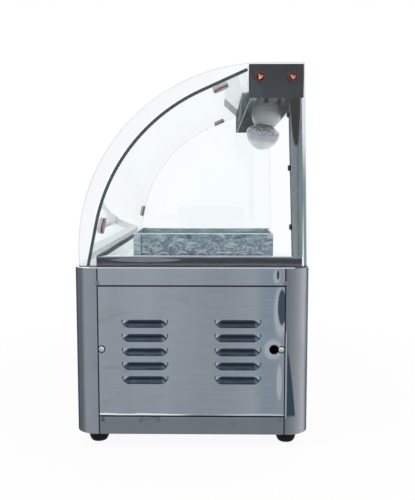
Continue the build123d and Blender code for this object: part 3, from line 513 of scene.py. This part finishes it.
def roller_chrome():
    """Chromed tube with fine rings round it from turning and a few dull cooking marks."""
    s = Shade("roller_chrome", Metallic=1.0)
    rings = s.noise((1400, 2, 2), 2)
    marks = s.noise((22, 60, 60), 4, 0.6)
    s.tones(rings, (0.35, 205, 208, 213), (0.65, 236, 238, 241))
    s.paint(s.mapped(marks, 0.58, 0.72, 0.0, 0.35), 168, 158, 146)
    # Seen in a mirror, the tube is painted pale and not metallic: a painted reflection
    s.paint(s.mirrored(), 232, 236, 241)
    s.set("Metallic", s.minus(1.0, s.mirrored()))
    s.set("Roughness", s.mapped(marks, 0.4, 0.75, 0.08, 0.3))
    return s.material


def heater_steel():
    """A heating element's sheath, tinted straw and brown by heat."""
    s = Shade("heater_steel", Metallic=1.0, Roughness=0.42)
    s.tones(s.noise((18, 40, 40), 3), (0.3, 116, 112, 108), (0.6, 150, 136, 118), (0.8, 104, 92, 84))
    return s.material


def chain_steel():
    """Oiled chain and sprockets, almost black in the hollows."""
    s = Shade("chain_steel", Metallic=1.0)
    oil = s.noise((120, 160, 160), 4, 0.8)
    s.two_tone(oil, (64, 64, 66), (128, 126, 124))
    s.roughen(oil, 0.3, 0.55)
    s.bump(oil, 0.2, 0.0004)
    return s.material


def moulded(name, dark, light, roughness, grain=900.0, coat=0.0, shine=0.5):
    """A moulded or painted surface with fine grain and slight colour variation."""
    s = Shade(name, Coat_Weight=coat, Specular_IOR_Level=shine)
    s.two_tone(s.noise((35, 35, 35), 3), dark, light)
    texture = s.noise((grain, grain, grain), 2)
    s.roughen(texture, roughness * 0.85, roughness * 1.15)
    s.bump(texture, 0.12, 0.0002)
    return s.material


def ceramic():
    """Glazed ceramic of the lampholder, satin grey with faint rings round its axis."""
    s = Shade("ceramic_white", Roughness=0.28, Coat_Weight=0.35)
    rings = s.noise((12, 12, 260), 2)
    s.two_tone(rings, (160, 167, 169), (190, 197, 199))
    dull = s.mapped(s.noise((45, 45, 45), 3), 0.5, 0.7, 0.0, 0.4)
    s.paint(dull, 124, 131, 133)
    s.bump(rings, 0.25, 0.0006)
    return s.material


def bulb_glass():
    """Frosted lamp glass: lavender white, creased round its rim with painted shade and highlights, paler on the dome.
    """
    s = Shade("bulb_glass", Roughness=0.14, Coat_Weight=0.8)
    offset = s.node("ShaderNodeVectorMath", Vector=s.place)
    offset.operation = "SUBTRACT"
    offset.inputs[1].default_value = bulb_base
    along = s.node("ShaderNodeVectorMath", Vector=offset.outputs[0])
    along.operation = "DOT_PRODUCT"
    along.inputs[1].default_value = lamp_axis
    height = along.outputs["Value"]
    rim_height, dome_start, ripples_per_metre = 16 * MM, 28 * MM, 1500.0
    creases = s.noise((280, 280, 460), 3, 1.6)
    rim = s.band(height, 1 * MM, rim_height, 2 * MM)
    s.tones(s.mapped(height, 0.0, bulb_length), (0.0, 140, 144, 156), (0.45, 166, 170, 182), (0.68, 178, 181, 191),
            (0.76, 214, 215, 220), (1.0, 226, 227, 232))
    # Painted shade and painted highlights on the creases round the rim
    s.paint(s.times(rim, s.mapped(creases, 0.5, 0.55, 0.0, 0.85)), 58, 63, 78)
    s.paint(s.times(rim, s.mapped(creases, 0.42, 0.46, 0.8, 0.0)), 240, 241, 246)
    # Painted shade in ripples below the rim
    ripples = s.math("SINE", s.plus(s.times(height, ripples_per_metre), s.times(creases, 14.0)))
    below = s.band(height, rim_height, dome_start, 1.5 * MM)
    s.paint(s.times(below, s.mapped(ripples, 0.1, 0.9, 0.0, 0.55)), 122, 127, 140)
    s.bump(s.times(creases, rim), 0.8, 0.002)
    return s.material


def clear_glass():
    """Toughened glass that lets light reach what stands behind it, a little lilac outside the front glass's curve."""
    s = Shade("clear_glass", Transmission_Weight=1.0, IOR=1.38, Roughness=0.0)
    s.two_tone(s.noise((3, 3, 3), 2), (249.89, 253.31, 253.31), (252.46, 254.16, 254.16))
    reach = s.length(s.minus(s.y, bend_y), s.minus(s.z, bend_z))
    front_part = s.mapped(s.y, 20 * MM, 60 * MM, 1.0, 0.0)
    outside = s.times(s.mapped(reach, bend_reach + 1 * MM, bend_reach + 3 * MM), front_part)
    s.paint(outside, 246.99, 247.57, 250.69)
    s.see_through(s.node("ShaderNodeLightPath").outputs["Is Shadow Ray"], (0.94, 0.97, 0.97, 1))
    return s.material


def glass_edge(name, deep, pale):
    """A polished glass edge, where the glass is seen through its whole width."""
    s = Shade(name, Roughness=0.3, Specular_IOR_Level=0.25)
    s.two_tone(s.noise((30, 6, 6), 1), deep, pale)
    return s.material


def bevel_glass():
    """The panes' ground bevels: pale round the curve, grey-green up the back, painted dark with shade at the foot,
    clear inside.
    """
    s = Shade("bevel_glass", Roughness=0.4, Specular_IOR_Level=0.3)
    cloud = s.noise((20, 14, 14), 2)
    s.two_tone(cloud, (222, 226, 233), (236, 239, 244))
    behind = s.plus(s.y, s.times(s.minus(s.z, pane_low.z), pane_lean))
    up_the_back = s.mix(s.mapped(behind, pane_high.y - 1.4 * MM, pane_high.y - 1.0 * MM),
                        srgb(126, 140, 147), srgb(214, 225, 231))
    up_the_back = s.mix(s.mapped(s.z, 330 * MM, 400 * MM, 0.0, 0.8), up_the_back, srgb(228, 236, 240))
    curve_end = 132 * MM
    s.base(s.mix(s.mapped(s.y, curve_end, curve_end + 5 * MM), s.colour, up_the_back))
    # Painted shade along the foot
    s.paint(s.mapped(s.z, pane_low.z + 1.6 * MM, pane_low.z + 2.4 * MM, 1.0, 0.0), 66, 72, 84)
    normal = s.node("ShaderNodeNewGeometry").outputs["True Normal"]
    facing_x = s.node("ShaderNodeSeparateXYZ", Vector=normal).outputs["X"]
    s.see_through(s.math("LESS_THAN", s.times(facing_x, s.x), -0.1), (1, 1, 1, 1))
    return s.material


def wiring_post_steel():
    """The post carries a painted reflection of a dark doorway down its upper half, ending in a round point, with a
    bluish stripe behind it.
    """
    s = Shade("wiring_post_steel", Metallic=1.0, Specular_Tint=(0.1, 0.1, 0.11, 1))
    point_z, full_z, reach = 382 * MM, 445 * MM, 6.9 * MM
    middle_y, lean, stripe_lean = 130.1 * MM, 2.6 * MM, 0.02
    rise = s.math("DIVIDE", s.minus(s.z, point_z), full_z - point_z)
    rise = s.math("MAXIMUM", rise, 0.0)
    across = s.plus(s.minus(s.y, middle_y), s.times(rise, lean))
    width = s.times(s.math("POWER", rise, 0.4), reach)
    doorway = s.mapped(s.minus(s.math("ABSOLUTE", across), width), -0.5 * MM, 0.4 * MM, 1.0, 0.0)
    doorway = s.times(doorway, s.mapped(s.z, point_z - 1 * MM, point_z + 3 * MM))
    s.two_tone(s.noise((20, 60, 6), 3, 0.4), (102, 112, 118), (126, 135, 141))
    behind = s.plus(across, s.times(s.minus(s.z, post_low.z), stripe_lean))
    s.paint(s.times(s.band(behind, 3.4 * MM, 6.2 * MM, 0.8 * MM), 0.7), 80, 92, 104)
    # Painted reflection of the dark doorway
    s.paint(doorway, 8, 5, 7)
    s.roughen(s.noise((30, 30, 30)), 0.2, 0.32)
    return s.material


# ---- Mesh helpers ----
def ring_faces(bm, ring, following):
    """The faces between two rings of as many points."""
    for i in range(len(ring)):
        j = (i + 1) % len(ring)
        bm.faces.new((ring[i], ring[j], following[j], following[i]))


def lathe(profile, segments=48, flutes=0, flute_depth=0.0, flute_top=0.0):
    """A mesh turned round local Z from (radius, height) pairs, fluted below flute_top where asked."""
    bm = bmesh.new()
    rings = []
    for radius, height in profile:
        if radius < 1e-7:
            rings.append([bm.verts.new((0, 0, height))] * segments)
            continue
        ring = []
        for i in range(segments):
            angle = 2 * math.pi * i / segments
            depth = flute_depth * (0.5 + 0.5 * math.cos(flutes * angle)) if flutes and height < flute_top else 0
            ring.append(bm.verts.new(((radius - depth) * math.cos(angle), (radius - depth) * math.sin(angle), height)))
        rings.append(ring)
    for lower, upper in zip(rings, rings[1:]):
        for i in range(segments):
            j = (i + 1) % segments
            corners = []
            for vertex in (lower[i], lower[j], upper[j], upper[i]):
                if vertex not in corners:
                    corners.append(vertex)
            if len(corners) > 2:
                bm.faces.new(corners)
    bmesh.ops.recalc_face_normals(bm, faces=bm.faces)
    return bm


def prism(outline, thickness):
    """A flat plate standing on local Z = 0 with the given outline."""
    bm = bmesh.new()
    bottom = [bm.verts.new((x, y, 0)) for x, y in outline]
    top = [bm.verts.new((x, y, thickness)) for x, y in outline]
    bm.faces.new(bottom[::-1])
    bm.faces.new(top)
    ring_faces(bm, bottom, top)
    return bm


def rectangle(left, right, low, high):
    return [(left, low), (right, low), (right, high), (left, high)]


def to_mesh(bm, name="made"):
    mesh = bpy.data.meshes.new(name)
    bm.to_mesh(mesh)
    bm.free()
    return mesh


def millimetre_lathe(profile, *sizes):
    return to_mesh(lathe([(radius * MM, height * MM) for radius, height in profile], *sizes))


def carved(body, cutter):
    """The body's mesh with the cutter's volume taken out of it."""
    solid, tool = add("solid", to_mesh(body)), add("tool", to_mesh(cutter))
    cut = solid.modifiers.new("cut", "BOOLEAN")
    cut.operation = "DIFFERENCE"
    cut.object = tool
    evaluated = solid.evaluated_get(bpy.context.evaluated_depsgraph_get())
    mesh = bpy.data.meshes.new_from_object(evaluated)
    for helper in (solid, tool):
        bpy.data.objects.remove(helper)
    return mesh


def placed(mesh, place):
    copy = mesh.copy()
    copy.transform(place)
    return copy


def joined(meshes):
    """One mesh that takes the place of several."""
    bm = bmesh.new()
    for mesh in meshes:
        bm.from_mesh(mesh)
        bpy.data.meshes.remove(mesh)
    return to_mesh(bm)


def patterned(mesh, places):
    """One mesh holding a copy of another at each place."""
    return joined([placed(mesh, place) for place in places])


def piece(name, mesh, material=None, body="root", slot=None, stands_for=(), sharp=35):
    """A finished piece of the object that rides on a body, in its slot's material if it isn't given another."""
    mesh.name = name
    mesh.materials.clear()
    mesh.materials.append(material or slots[slot])
    mesh.shade_smooth()
    mesh.set_sharp_from_angle(angle=math.radians(sharp))
    made = add(name, mesh)
    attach(made, body)
    if stands_for:
        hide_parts(*stands_for)


def facing(direction, place, roll=0.0):
    """A placing whose local Z looks along direction."""
    turn = Vector(direction).to_track_quat("Z", "Y").to_matrix().to_4x4()
    return Matrix.Translation(Vector(place)) @ turn @ Matrix.Rotation(roll, 4, "Z")


def end_on(x):
    """A placing that stands local X, Y and Z along Y, Z and X, at the given x."""
    return Matrix.Translation((x, 0, 0)) @ Matrix.Rotation(math.pi / 2, 4, "Y") @ Matrix.Rotation(math.pi / 2, 4, "Z")


def dome(radius, edge, height, steps=7):
    """Profile of a domed head with a short straight edge."""
    points = [(0, 0), (radius, 0), (radius, edge)]
    for i in range(1, steps + 1):
        angle = math.pi / 2 * i / steps
        points.append((radius * math.cos(angle) if i < steps else 0, edge + (height - edge) * math.sin(angle)))
    return points


def cross(arm, bar, depth, top):
    """A cutter for a cross recess that goes depth below top."""
    half = bar / 2
    outline = [(half, half), (half, arm), (-half, arm), (-half, half), (-arm, half), (-arm, -half),
               (-half, -half), (-half, -arm), (half, -arm), (half, -half), (arm, -half), (arm, half)]
    bm = prism(outline, 2 * depth)
    bmesh.ops.translate(bm, verts=bm.verts, vec=(0, 0, top - depth))
    return bm


def node_parts(name):
    """The lowest and highest corner of each separate shell of a CAD node."""
    bm = bmesh.new()
    bm.from_mesh(frame["nodes"][name].data)
    bmesh.ops.remove_doubles(bm, verts=bm.verts, dist=1e-6)
    seen, boxes = set(), []
    for first in bm.verts:
        if first.index in seen:
            continue
        stack, shell = [first], []
        seen.add(first.index)
        while stack:
            vertex = stack.pop()
            shell.append(vertex.co.copy())
            for edge in vertex.link_edges:
                other = edge.other_vert(vertex)
                if other.index not in seen:
                    seen.add(other.index)
                    stack.append(other)
        boxes.append([Vector([pick(corner[i] for corner in shell) for i in range(3)]) for pick in (min, max)])
    bm.free()
    return boxes


def rim_of(mesh, wanted):
    """The (y, z) points round the faces that wanted(face) picks, in order."""
    edges = []
    for face in filter(wanted, mesh.polygons):
        corners = [tuple(round(v, 6) for v in mesh.vertices[i].co) for i in face.vertices]
        for edge in zip(corners, corners[1:] + corners[:1]):
            if edge[::-1] in edges:
                edges.remove(edge[::-1])
            else:
                edges.append(edge)
    onward = dict(edges)
    start = min(onward, key=lambda corner: corner[1])
    points, at = [start], onward[start]
    while at != start:
        points.append(at)
        at = onward[at]
    return [Vector((y, z)) for x, y, z in points]


# ---- Materials onto the carried-over nodes ----
lamp_tilt = math.radians(9)
lamp_axis = Vector((0, -math.sin(lamp_tilt), -math.cos(lamp_tilt)))
bulb_low, bulb_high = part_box("bulb")
bulb_radius = (bulb_high.x - bulb_low.x) / 2
bulb_length = 38 * MM
bulb_centre = Vector(((bulb_low.x + bulb_high.x) / 2, (bulb_low.y + bulb_high.y) / 2, bulb_low.z + bulb_radius))
bulb_base = bulb_centre - lamp_axis * (bulb_length - bulb_radius)

slots = {
    "casing_steel": casing_steel(),
    "bright_steel": bright_steel(),
    "dark_steel": dark_steel(),
    "housing_steel": housing_steel(),
    # Painted shading, light in the middle of each screw head and dark round its foot
    "screw_steel": dome_metal("screw_steel", (0.0, 206, 212, 220), (0.08, 168, 176, 186),
                              (0.2, 92, 100, 112), (0.42, 30, 36, 44)),
    "roller_chrome": roller_chrome(),
    "chain_steel": chain_steel(),
    "heater_steel": heater_steel(),
    "clear_glass": clear_glass(),
    "bronze": plated("bronze", (78, 60, 50), (140, 112, 94), 0.36),
    # Painted shading, a small light middle on each copper dome and dark round its foot
    "copper": dome_metal("copper", (0.0, 236, 192, 160), (0.025, 152, 104, 82), (0.07, 96, 62, 50),
                         (0.3, 34, 21, 19)),
    "ceramic_white": ceramic(),
    "bulb_glass": bulb_glass(),
}
for moulding in (
    ("motor_grey", (92, 96, 102), (112, 116, 122), 0.45),
    ("black_rubber", (4, 6, 9), (12, 15, 20), 0.75, 700.0, 0.0, 0.2),
    ("bearing_plastic", (214, 210, 198), (228, 224, 212), 0.5),
    ("black_plastic", (26, 26, 29), (36, 36, 40), 0.38, 1200.0),
    ("red_plastic", (172, 30, 26), (190, 38, 32), 0.25, 1200.0, 0.4),
    ("green_plastic", (34, 128, 62), (42, 144, 72), 0.25, 1200.0, 0.4),
    ("amber_plastic", (214, 132, 40), (226, 150, 56), 0.18, 400.0, 0.6),
    ("red_washer", (74, 38, 32), (98, 52, 42), 0.55, 800.0),
):
    slots[moulding[0]] = moulded(*moulding)
corner = corner_steel()
pane_edge = glass_edge("pane_edge", (140, 164, 170), (188, 206, 210))
front_edge = glass_edge("front_glass_edge", (6, 40, 47), (12, 52, 60))
# A dark material for painted shadow: in gaps, round screw heads and on the panes' bottom faces
painted_shadow = moulded("painted_shadow", (10, 12, 15), (20, 22, 27), 0.85, shine=0.2)
dark_clip = plated("dark_clip", (14, 17, 20), (36, 40, 44), 0.4)
dull_screw = plated("dull_screw", (84, 88, 96), (150, 154, 160), 0.3)
mark_white = moulded("mark_white", (222, 222, 220), (236, 236, 234), 0.5)
mark_grey = moulded("mark_grey", (52, 54, 58), (64, 66, 70), 0.6)

# Nodes whose sheet differs from the rest of their slot
satin = satin_steel()
flat_sheet = deck_steel()
beam_sheet = beam_steel()
own = {
    "wiring_post": wiring_post_steel(), "deck": flat_sheet, "housing_lid": flat_sheet, "top_beam": beam_sheet,
    "bearing_plate_right": bearing_steel(), "control_plate": satin, "drip_tray": satin, "tray_handle": satin,
}


def dress_nodes():
    for part in frame["record"]["subparts"]:
        node = frame["nodes"][part["node"]]
        node.data.materials.clear()
        usual = corner if part["node"].startswith("corner_post") else slots[part["material_slot"]]
        node.data.materials.append(own.get(part["node"], usual))


def dress_faces(mesh, material, wanted):
    """Gives one more material to the faces of a mesh that wanted(face) picks."""
    mesh.materials.append(material)
    for face in mesh.polygons:
        if wanted(face):
            face.material_index = len(mesh.materials) - 1


front_rim = deck_low.y + 45 * MM  # the front strip of the deck, with its folded rim


def on_rim_wall(face):
    inside_front = face.normal.y > 0.5 and face.center.y < front_rim
    return face.center.z > deck_floor + 0.2 * MM and abs(face.normal.z) < 0.5 and not inside_front


def on_front_rim_top(face):
    return face.center.z > deck_high.z - 0.5 * MM and face.normal.z > 0.5 and face.center.y < front_rim


def dress_all_faces():
    louvre = louvre_steel()
    meshes = {name: node.data for name, node in frame["nodes"].items()}
    for end in ("left", "right"):
        dress_faces(meshes[f"side_panel_{end}"], louvre, in_louvre)
        dress_faces(meshes[f"side_pane_{end}"], pane_edge, lambda face: abs(face.normal.x) < 0.5)
        # Painted shadow on the panes' bottom faces
        dress_faces(meshes[f"side_pane_{end}"], painted_shadow, lambda face: face.normal.z < -0.9)
    dress_faces(meshes["front_glass"], front_edge, lambda face: abs(face.normal.x) > 0.5)
    dress_faces(meshes["deck"], rim_steel(), on_rim_wall)
    dress_faces(meshes["deck"], rim_top_steel(), on_front_rim_top)


dress_nodes()
dress_all_faces()


# ---- Small pieces that the solids leave to the scene ----
def screw_heads():
    """Pan-head screws with a cross recess: two hold each side panel, each ringed by painted shadow, and four smaller
    ones hold its rails.
    """
    radius, height = 4.0 * MM, 2.4 * MM
    arm, bar, recess = 2.3 * MM, 0.8 * MM, 1.3 * MM
    shadow_ring_radius, shadow_ring_height = radius + 0.9 * MM, 0.15 * MM
    above, below, inwards, smaller = 3.8 * MM, 4.8 * MM, 4.6 * MM, 0.72
    first_turn, next_turn = 0.4, 0.7
    head = carved(lathe(dome(radius, 0.8 * MM, height)), cross(arm, bar, recess, height))
    shadow_ring = to_mesh(lathe([(0, 0), (shadow_ring_radius, 0), (shadow_ring_radius, shadow_ring_height), (0, shadow_ring_height)]))
    places = []
    for number, (low, high) in enumerate(node_parts("side_screws")):
        centre = (low + high) / 2
        side = math.copysign(1, centre.x)
        places.append(facing((side, 0, 0), (side * casing_x, centre.y, centre.z), first_turn + next_turn * number))
    rail_places = []
    for side in (-1, 1):
        for way in (-1, 1):
            for y, z in ((column_y, panel_high.z + above), (column_y - inwards, panel_low.z - below)):
                place = facing((side, 0, 0), (side * casing_x, way * y, z), 0.9 * way)
                rail_places.append(place @ Matrix.Scale(smaller, 4))
    piece("side_screw_heads", patterned(head, places), slot="screw_steel", stands_for=["side_screws"])
    piece("rail_screw_heads", patterned(head, rail_places), dull_screw, slot="screw_steel")
    # Dark rings under the panel screws' heads: painted shadow
    piece("screw_shadow_rings", patterned(shadow_ring, places), painted_shadow)


def cap_screw_heads():
    """Copper dome screws with a hexagon socket, and their shanks through pane and cap."""
    radius, height, shank, length = 4.65 * MM, 3.0 * MM, 2.5 * MM, 12 * MM
    socket_radius, socket_depth = 1.5 * MM, 1.5 * MM
    profile = [(0, -length), (shank, -length), (shank, 0)] + dome(radius, 0.25 * MM, height)[1:]
    angles = [math.pi / 3 * i for i in range(6)]
    socket = prism([(socket_radius * math.cos(angle), socket_radius * math.sin(angle)) for angle in angles], 4 * MM)
    bmesh.ops.translate(socket, verts=socket.verts, vec=(0, 0, height - socket_depth))
    head = carved(lathe(profile), socket)
    washer_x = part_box("cap_washers")[1].x
    places = []
    for low, high in node_parts("cap_screws"):
        centre = (low + high) / 2
        side = math.copysign(1, centre.x)
        places.append(facing((side, 0, 0), (side * washer_x, centre.y, centre.z), 0.3))
    piece("cap_screw_heads", patterned(head, places), slot="copper", stands_for=["cap_screws"])


def beam_cap_plates():
    """The beam's end plates, a hair thinner than the solids, so that the side panes clear them."""
    low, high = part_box("beam_cap_right")
    thick, cut = high.x - low.x - 0.15 * MM, 0.8 * MM
    outline = [(low.y + cut, low.z), (high.y - cut, low.z), (high.y, low.z + cut), (high.y, high.z - cut),
               (high.y - cut, high.z), (low.y + cut, high.z), (low.y, high.z - cut), (low.y, low.z + cut)]
    mesh = patterned(to_mesh(prism(outline, thick)), [end_on(low.x), end_on(-low.x - thick)])
    piece("beam_cap_plates", mesh, slot="dark_steel", stands_for=["beam_cap_right", "beam_cap_left"])
    dress_faces(mesh, beam_sheet, lambda face: face.normal.x * face.center.x < -0.5 * abs(face.center.x))


def pane_bevels():
    """The ground bevel round the outer face of each side pane, which catches the light as a fine line."""
    width, back_width, proud, depth, inset = 1.3 * MM, 4.4 * MM, 0.03 * MM, 0.3 * MM, 0.05 * MM
    back_y = pane_high.y - 8 * MM
    outline = rim_of(frame["nodes"]["side_pane_right"].data,
                     lambda face: face.normal.x > 0.9 and face.center.x > pane_high.x - 0.1 * MM)
    i = next(i for i in range(len(outline)) if min(outline[i].x, outline[(i + 1) % len(outline)].x) > back_y)
    foot, top = sorted((outline[i], outline[(i + 1) % len(outline)]), key=lambda point: point.y)
    added = [foot.lerp(top, (beam_low.z - drop - foot.y) / (top.y - foot.y)) for drop in (0.6 * MM, 0.2 * MM)]
    outline[i + 1:i + 1] = added if outline[i] == foot else added[::-1]
    outer, inner = [], []
    for i, point in enumerate(outline):
        before, after = (point - outline[i - 1]).normalized(), (outline[(i + 1) % len(outline)] - point).normalized()
        inward = Vector((-before.y - after.y, before.x + after.x)).normalized()
        step = inward * width / max(0.4, inward.dot(Vector((-after.y, after.x))))
        outer.append(point + inward * inset)
        if point.x > back_y and point.y < beam_low.z - 0.4 * MM:
            step.x = -back_width
        inner.append(point + step)
    bm = bmesh.new()
    for side in (-1, 1):
        rings = [[bm.verts.new((side * (pane_high.x + lift), p.x, p.y)) for p in ring]
                 for lift, ring in ((proud, outer), (proud, inner), (-depth, inner), (-depth, outer))]
        for ring, following in zip(rings, rings[1:] + rings[:1]):
            ring_faces(bm, ring, following)
    bmesh.ops.recalc_face_normals(bm, faces=bm.faces)
    piece("pane_bevels", to_mesh(bm), bevel_glass(), slot="clear_glass")


def lamp():
    """A reflector lamp: a fluted neck and rim that swell into a frosted dome."""
    profile = [(0.0, 0.0), (13.5, 0.0), (14.0, 0.8), (18.5, 1.8), (22.0, 3.8), (24.6, 6.6), (26.0, 9.4), (26.4, 10.4),
               (26.5, 11.6), (26.2, 12.6), (26.3, 14.2), (25.6, 17.6), (23.9, 22.2), (21.3, 26.4), (17.8, 30.3),
               (13.6, 33.8), (8.8, 36.4), (4.2, 37.7), (0.0, 38.0)]
    segments, flutes, flute_depth, flute_top = 96, 24, 0.55 * MM, 10 * MM
    mesh = placed(millimetre_lathe(profile, segments, flutes, flute_depth, flute_top), facing(lamp_axis, bulb_base))
    piece("lamp_bulb", mesh, slot="bulb_glass", stands_for=["bulb"], sharp=60)


def holder_clips():
    """Two dark screw clamps in front of the lampholder, below its ears."""
    half, depth, height, top = 3.2 * MM, 12 * MM, 12 * MM, 473 * MM
    clip_ys = (108 * MM, 128.5 * MM)
    clip = to_mesh(prism(rectangle(-half, half, -height, 0), depth))
    holder_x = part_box("lamp_holder")[1].x
    places = [Matrix.Translation((0, y, top)) @ end_on(holder_x - depth) for y in clip_ys]
    piece("holder_clips", patterned(clip, places), dark_clip)


def foot_rubber():
    """Four rubber feet with a rounded shoulder and a hollow tread."""
    profile = [(0, 1.2), (5, 1.2), (5.6, 0), (8.2, 0), (9.6, 0.5), (11.2, 2.4), (12.4, 5.4), (13.1, 9.0), (13.5, 12.5),
               (13.5, 16.6), (13.1, 17), (0, 17)]
    boxes = node_parts("feet")
    places = [Matrix.Translation(((low.x + high.x) / 2, (low.y + high.y) / 2, low.z)) for low, high in boxes]
    foot = millimetre_lathe(profile, 56)
    piece("rubber_feet", patterned(foot, places), slot="black_rubber", stands_for=["feet"], sharp=40)


def post_screw_heads():
    """Three small hexagon heads on the front edge of the wiring post."""
    head = millimetre_lathe([(0, 0), (4.4, 0), (4.4, 1.6), (3.2, 3.4), (0, 3.4)], 6)
    x = (post_low.x + post_high.x) / 2 + 4 * MM
    foot, top = Vector((x, 127.5 * MM, post_low.z)), Vector((x, 121 * MM, post_high.z))
    places = [facing((0, -1, 0), foot.lerp(top, share)) for share in (0.19, 0.566, 0.9)]
    piece("post_screws", patterned(head, places), dark_clip, sharp=20)


def seam_lines():
    """The shadow gaps round each side panel and beside the corner posts, seen as thin dark lines."""
    proud, depth, half_across, half_up = 0.04 * MM, 0.5 * MM, 1.0 * MM, 0.8 * MM
    low, high = panel_low, panel_high
    bottom, top = (corner.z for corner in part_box("corner_post_front_right"))
    lines = [rectangle(low.y - seam, high.y + seam, z - half_across, z + half_across)
             for z in (high.z + seam / 2, low.z - seam / 2)]
    lines += [rectangle(y - half_up, y + half_up, bottom, top) for y in (low.y - seam / 2, high.y + seam / 2)]
    bm = bmesh.new()
    for side in (-1, 1):
        for corners in lines:
            outer, inner = ([bm.verts.new((side * x, y, z)) for y, z in corners]
                            for x in (casing_x + proud, casing_x + proud - depth))
            bm.faces.new(outer)
            bm.faces.new(inner)
            ring_faces(bm, outer, inner)
    bmesh.ops.recalc_face_normals(bm, faces=bm.faces)
    piece("seam_lines", to_mesh(bm), painted_shadow)


def knob_marks():
    """A white pointer on each knob, and tick marks round it on the plate."""
    tick_half, tick_thick, tick_step, dial_radius = 0.4 * MM, 0.15 * MM, 27, 23 * MM
    pointer_half, pointer_from, pointer_to, pointer_thick = 0.9 * MM, 5 * MM, 15 * MM, 0.5 * MM
    pointer = to_mesh(prism(rectangle(-pointer_half, pointer_half, pointer_from, pointer_to), pointer_thick))
    plate_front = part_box("control_plate")[0].y
    ticks = []
    for name in ("knob_1", "knob_2"):
        low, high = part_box(name)
        x, z = (low.x + high.x) / 2, (low.z + high.z) / 2
        piece(f"{name}_pointer", placed(pointer, facing((0, -1, 0), (x, low.y + 0.1 * MM, z))), mark_white, name)
        for number in range(-5, 6):
            length = 4.5 * MM if number % 5 == 0 else 3 * MM
            turn = Matrix.Rotation(math.radians(tick_step * number), 4, "Z")
            place = facing((0, -1, 0), (x, plate_front, z)) @ turn @ Matrix.Translation((0, dial_radius, 0))
            ticks.append(placed(to_mesh(prism(rectangle(-tick_half, tick_half, 0, length), tick_thick)), place))
    piece("dial_ticks", joined(ticks), mark_grey)


screw_heads()
cap_screw_heads()
beam_cap_plates()
pane_bevels()
lamp()
holder_clips()
foot_rubber()
post_screw_heads()
seam_lines()
knob_marks()


# ---- Studio ----
def shows_to_camera(tree):
    """1 for rays that show something to the camera, straight on, in a mirror or through glass, and 0 for the rest."""
    path = tree.nodes.new("ShaderNodeLightPath")
    shown = path.outputs["Is Camera Ray"]
    for name in ("Is Glossy Ray", "Is Transmission Ray"):
        either = tree.nodes.new("ShaderNodeMath")
        either.operation = "MAXIMUM"
        tree.links.new(shown, either.inputs[0])
        tree.links.new(path.outputs[name], either.inputs[1])
        shown = either.outputs[0]
    return shown


def make_floor():
    """A floor that shows as white, a little greyer close to the object, where its own shading mixes in."""
    half = 4.0
    bm = bmesh.new()
    bm.faces.new([bm.verts.new((x, y, 0)) for x, y in rectangle(-half, half, -half, half)])
    mesh = to_mesh(bm, "floor")
    floor = add("floor", mesh)
    s = Shade("floor", Roughness=0.9, Base_Color=(0.9, 0.9, 0.9, 1))
    share = s.mapped(s.length(s.x, s.y), 0.33, 0.7, 0.93, 1.0)
    s.overlay(s.times(shows_to_camera(s.tree), share), s.node("ShaderNodeEmission", Strength=1.0))
    mesh.materials.append(s.material)


def make_world():
    """White all round, and dimmer as a source of light than as a background."""
    world = bpy.data.worlds.new("studio")
    bpy.context.scene.world = world
    world.use_nodes = True
    tree = world.node_tree
    background = tree.nodes["Background"]
    level = tree.nodes.new("ShaderNodeMapRange")
    tree.links.new(shows_to_camera(tree), level.inputs["Value"])
    level.inputs["To Min"].default_value = 0.7
    level.inputs["To Max"].default_value = 1.0
    tree.links.new(level.outputs[0], background.inputs["Strength"])
    background.inputs["Color"].default_value = (1, 1, 1, 1)


def area_light(name, place, power):
    data = bpy.data.lights.new(name, "AREA")
    data.shape = "SQUARE"
    data.size = light_size
    data.energy = power
    light = add(name, data)
    light.location = place
    light.rotation_euler = (light_target - Vector(place)).to_track_quat("-Z", "Y").to_euler()


make_floor()
make_world()
light_size, light_target = 1.2, Vector((0, 0, 0.25))
area_light("key", (1.4, -1.2, 1.9), 14)
area_light("fill", (1.2, 1.6, 1.2), 8)
area_light("back", (-1.6, 0.8, 1.6), 8)
bpy.context.scene.view_settings.view_transform = "Standard"
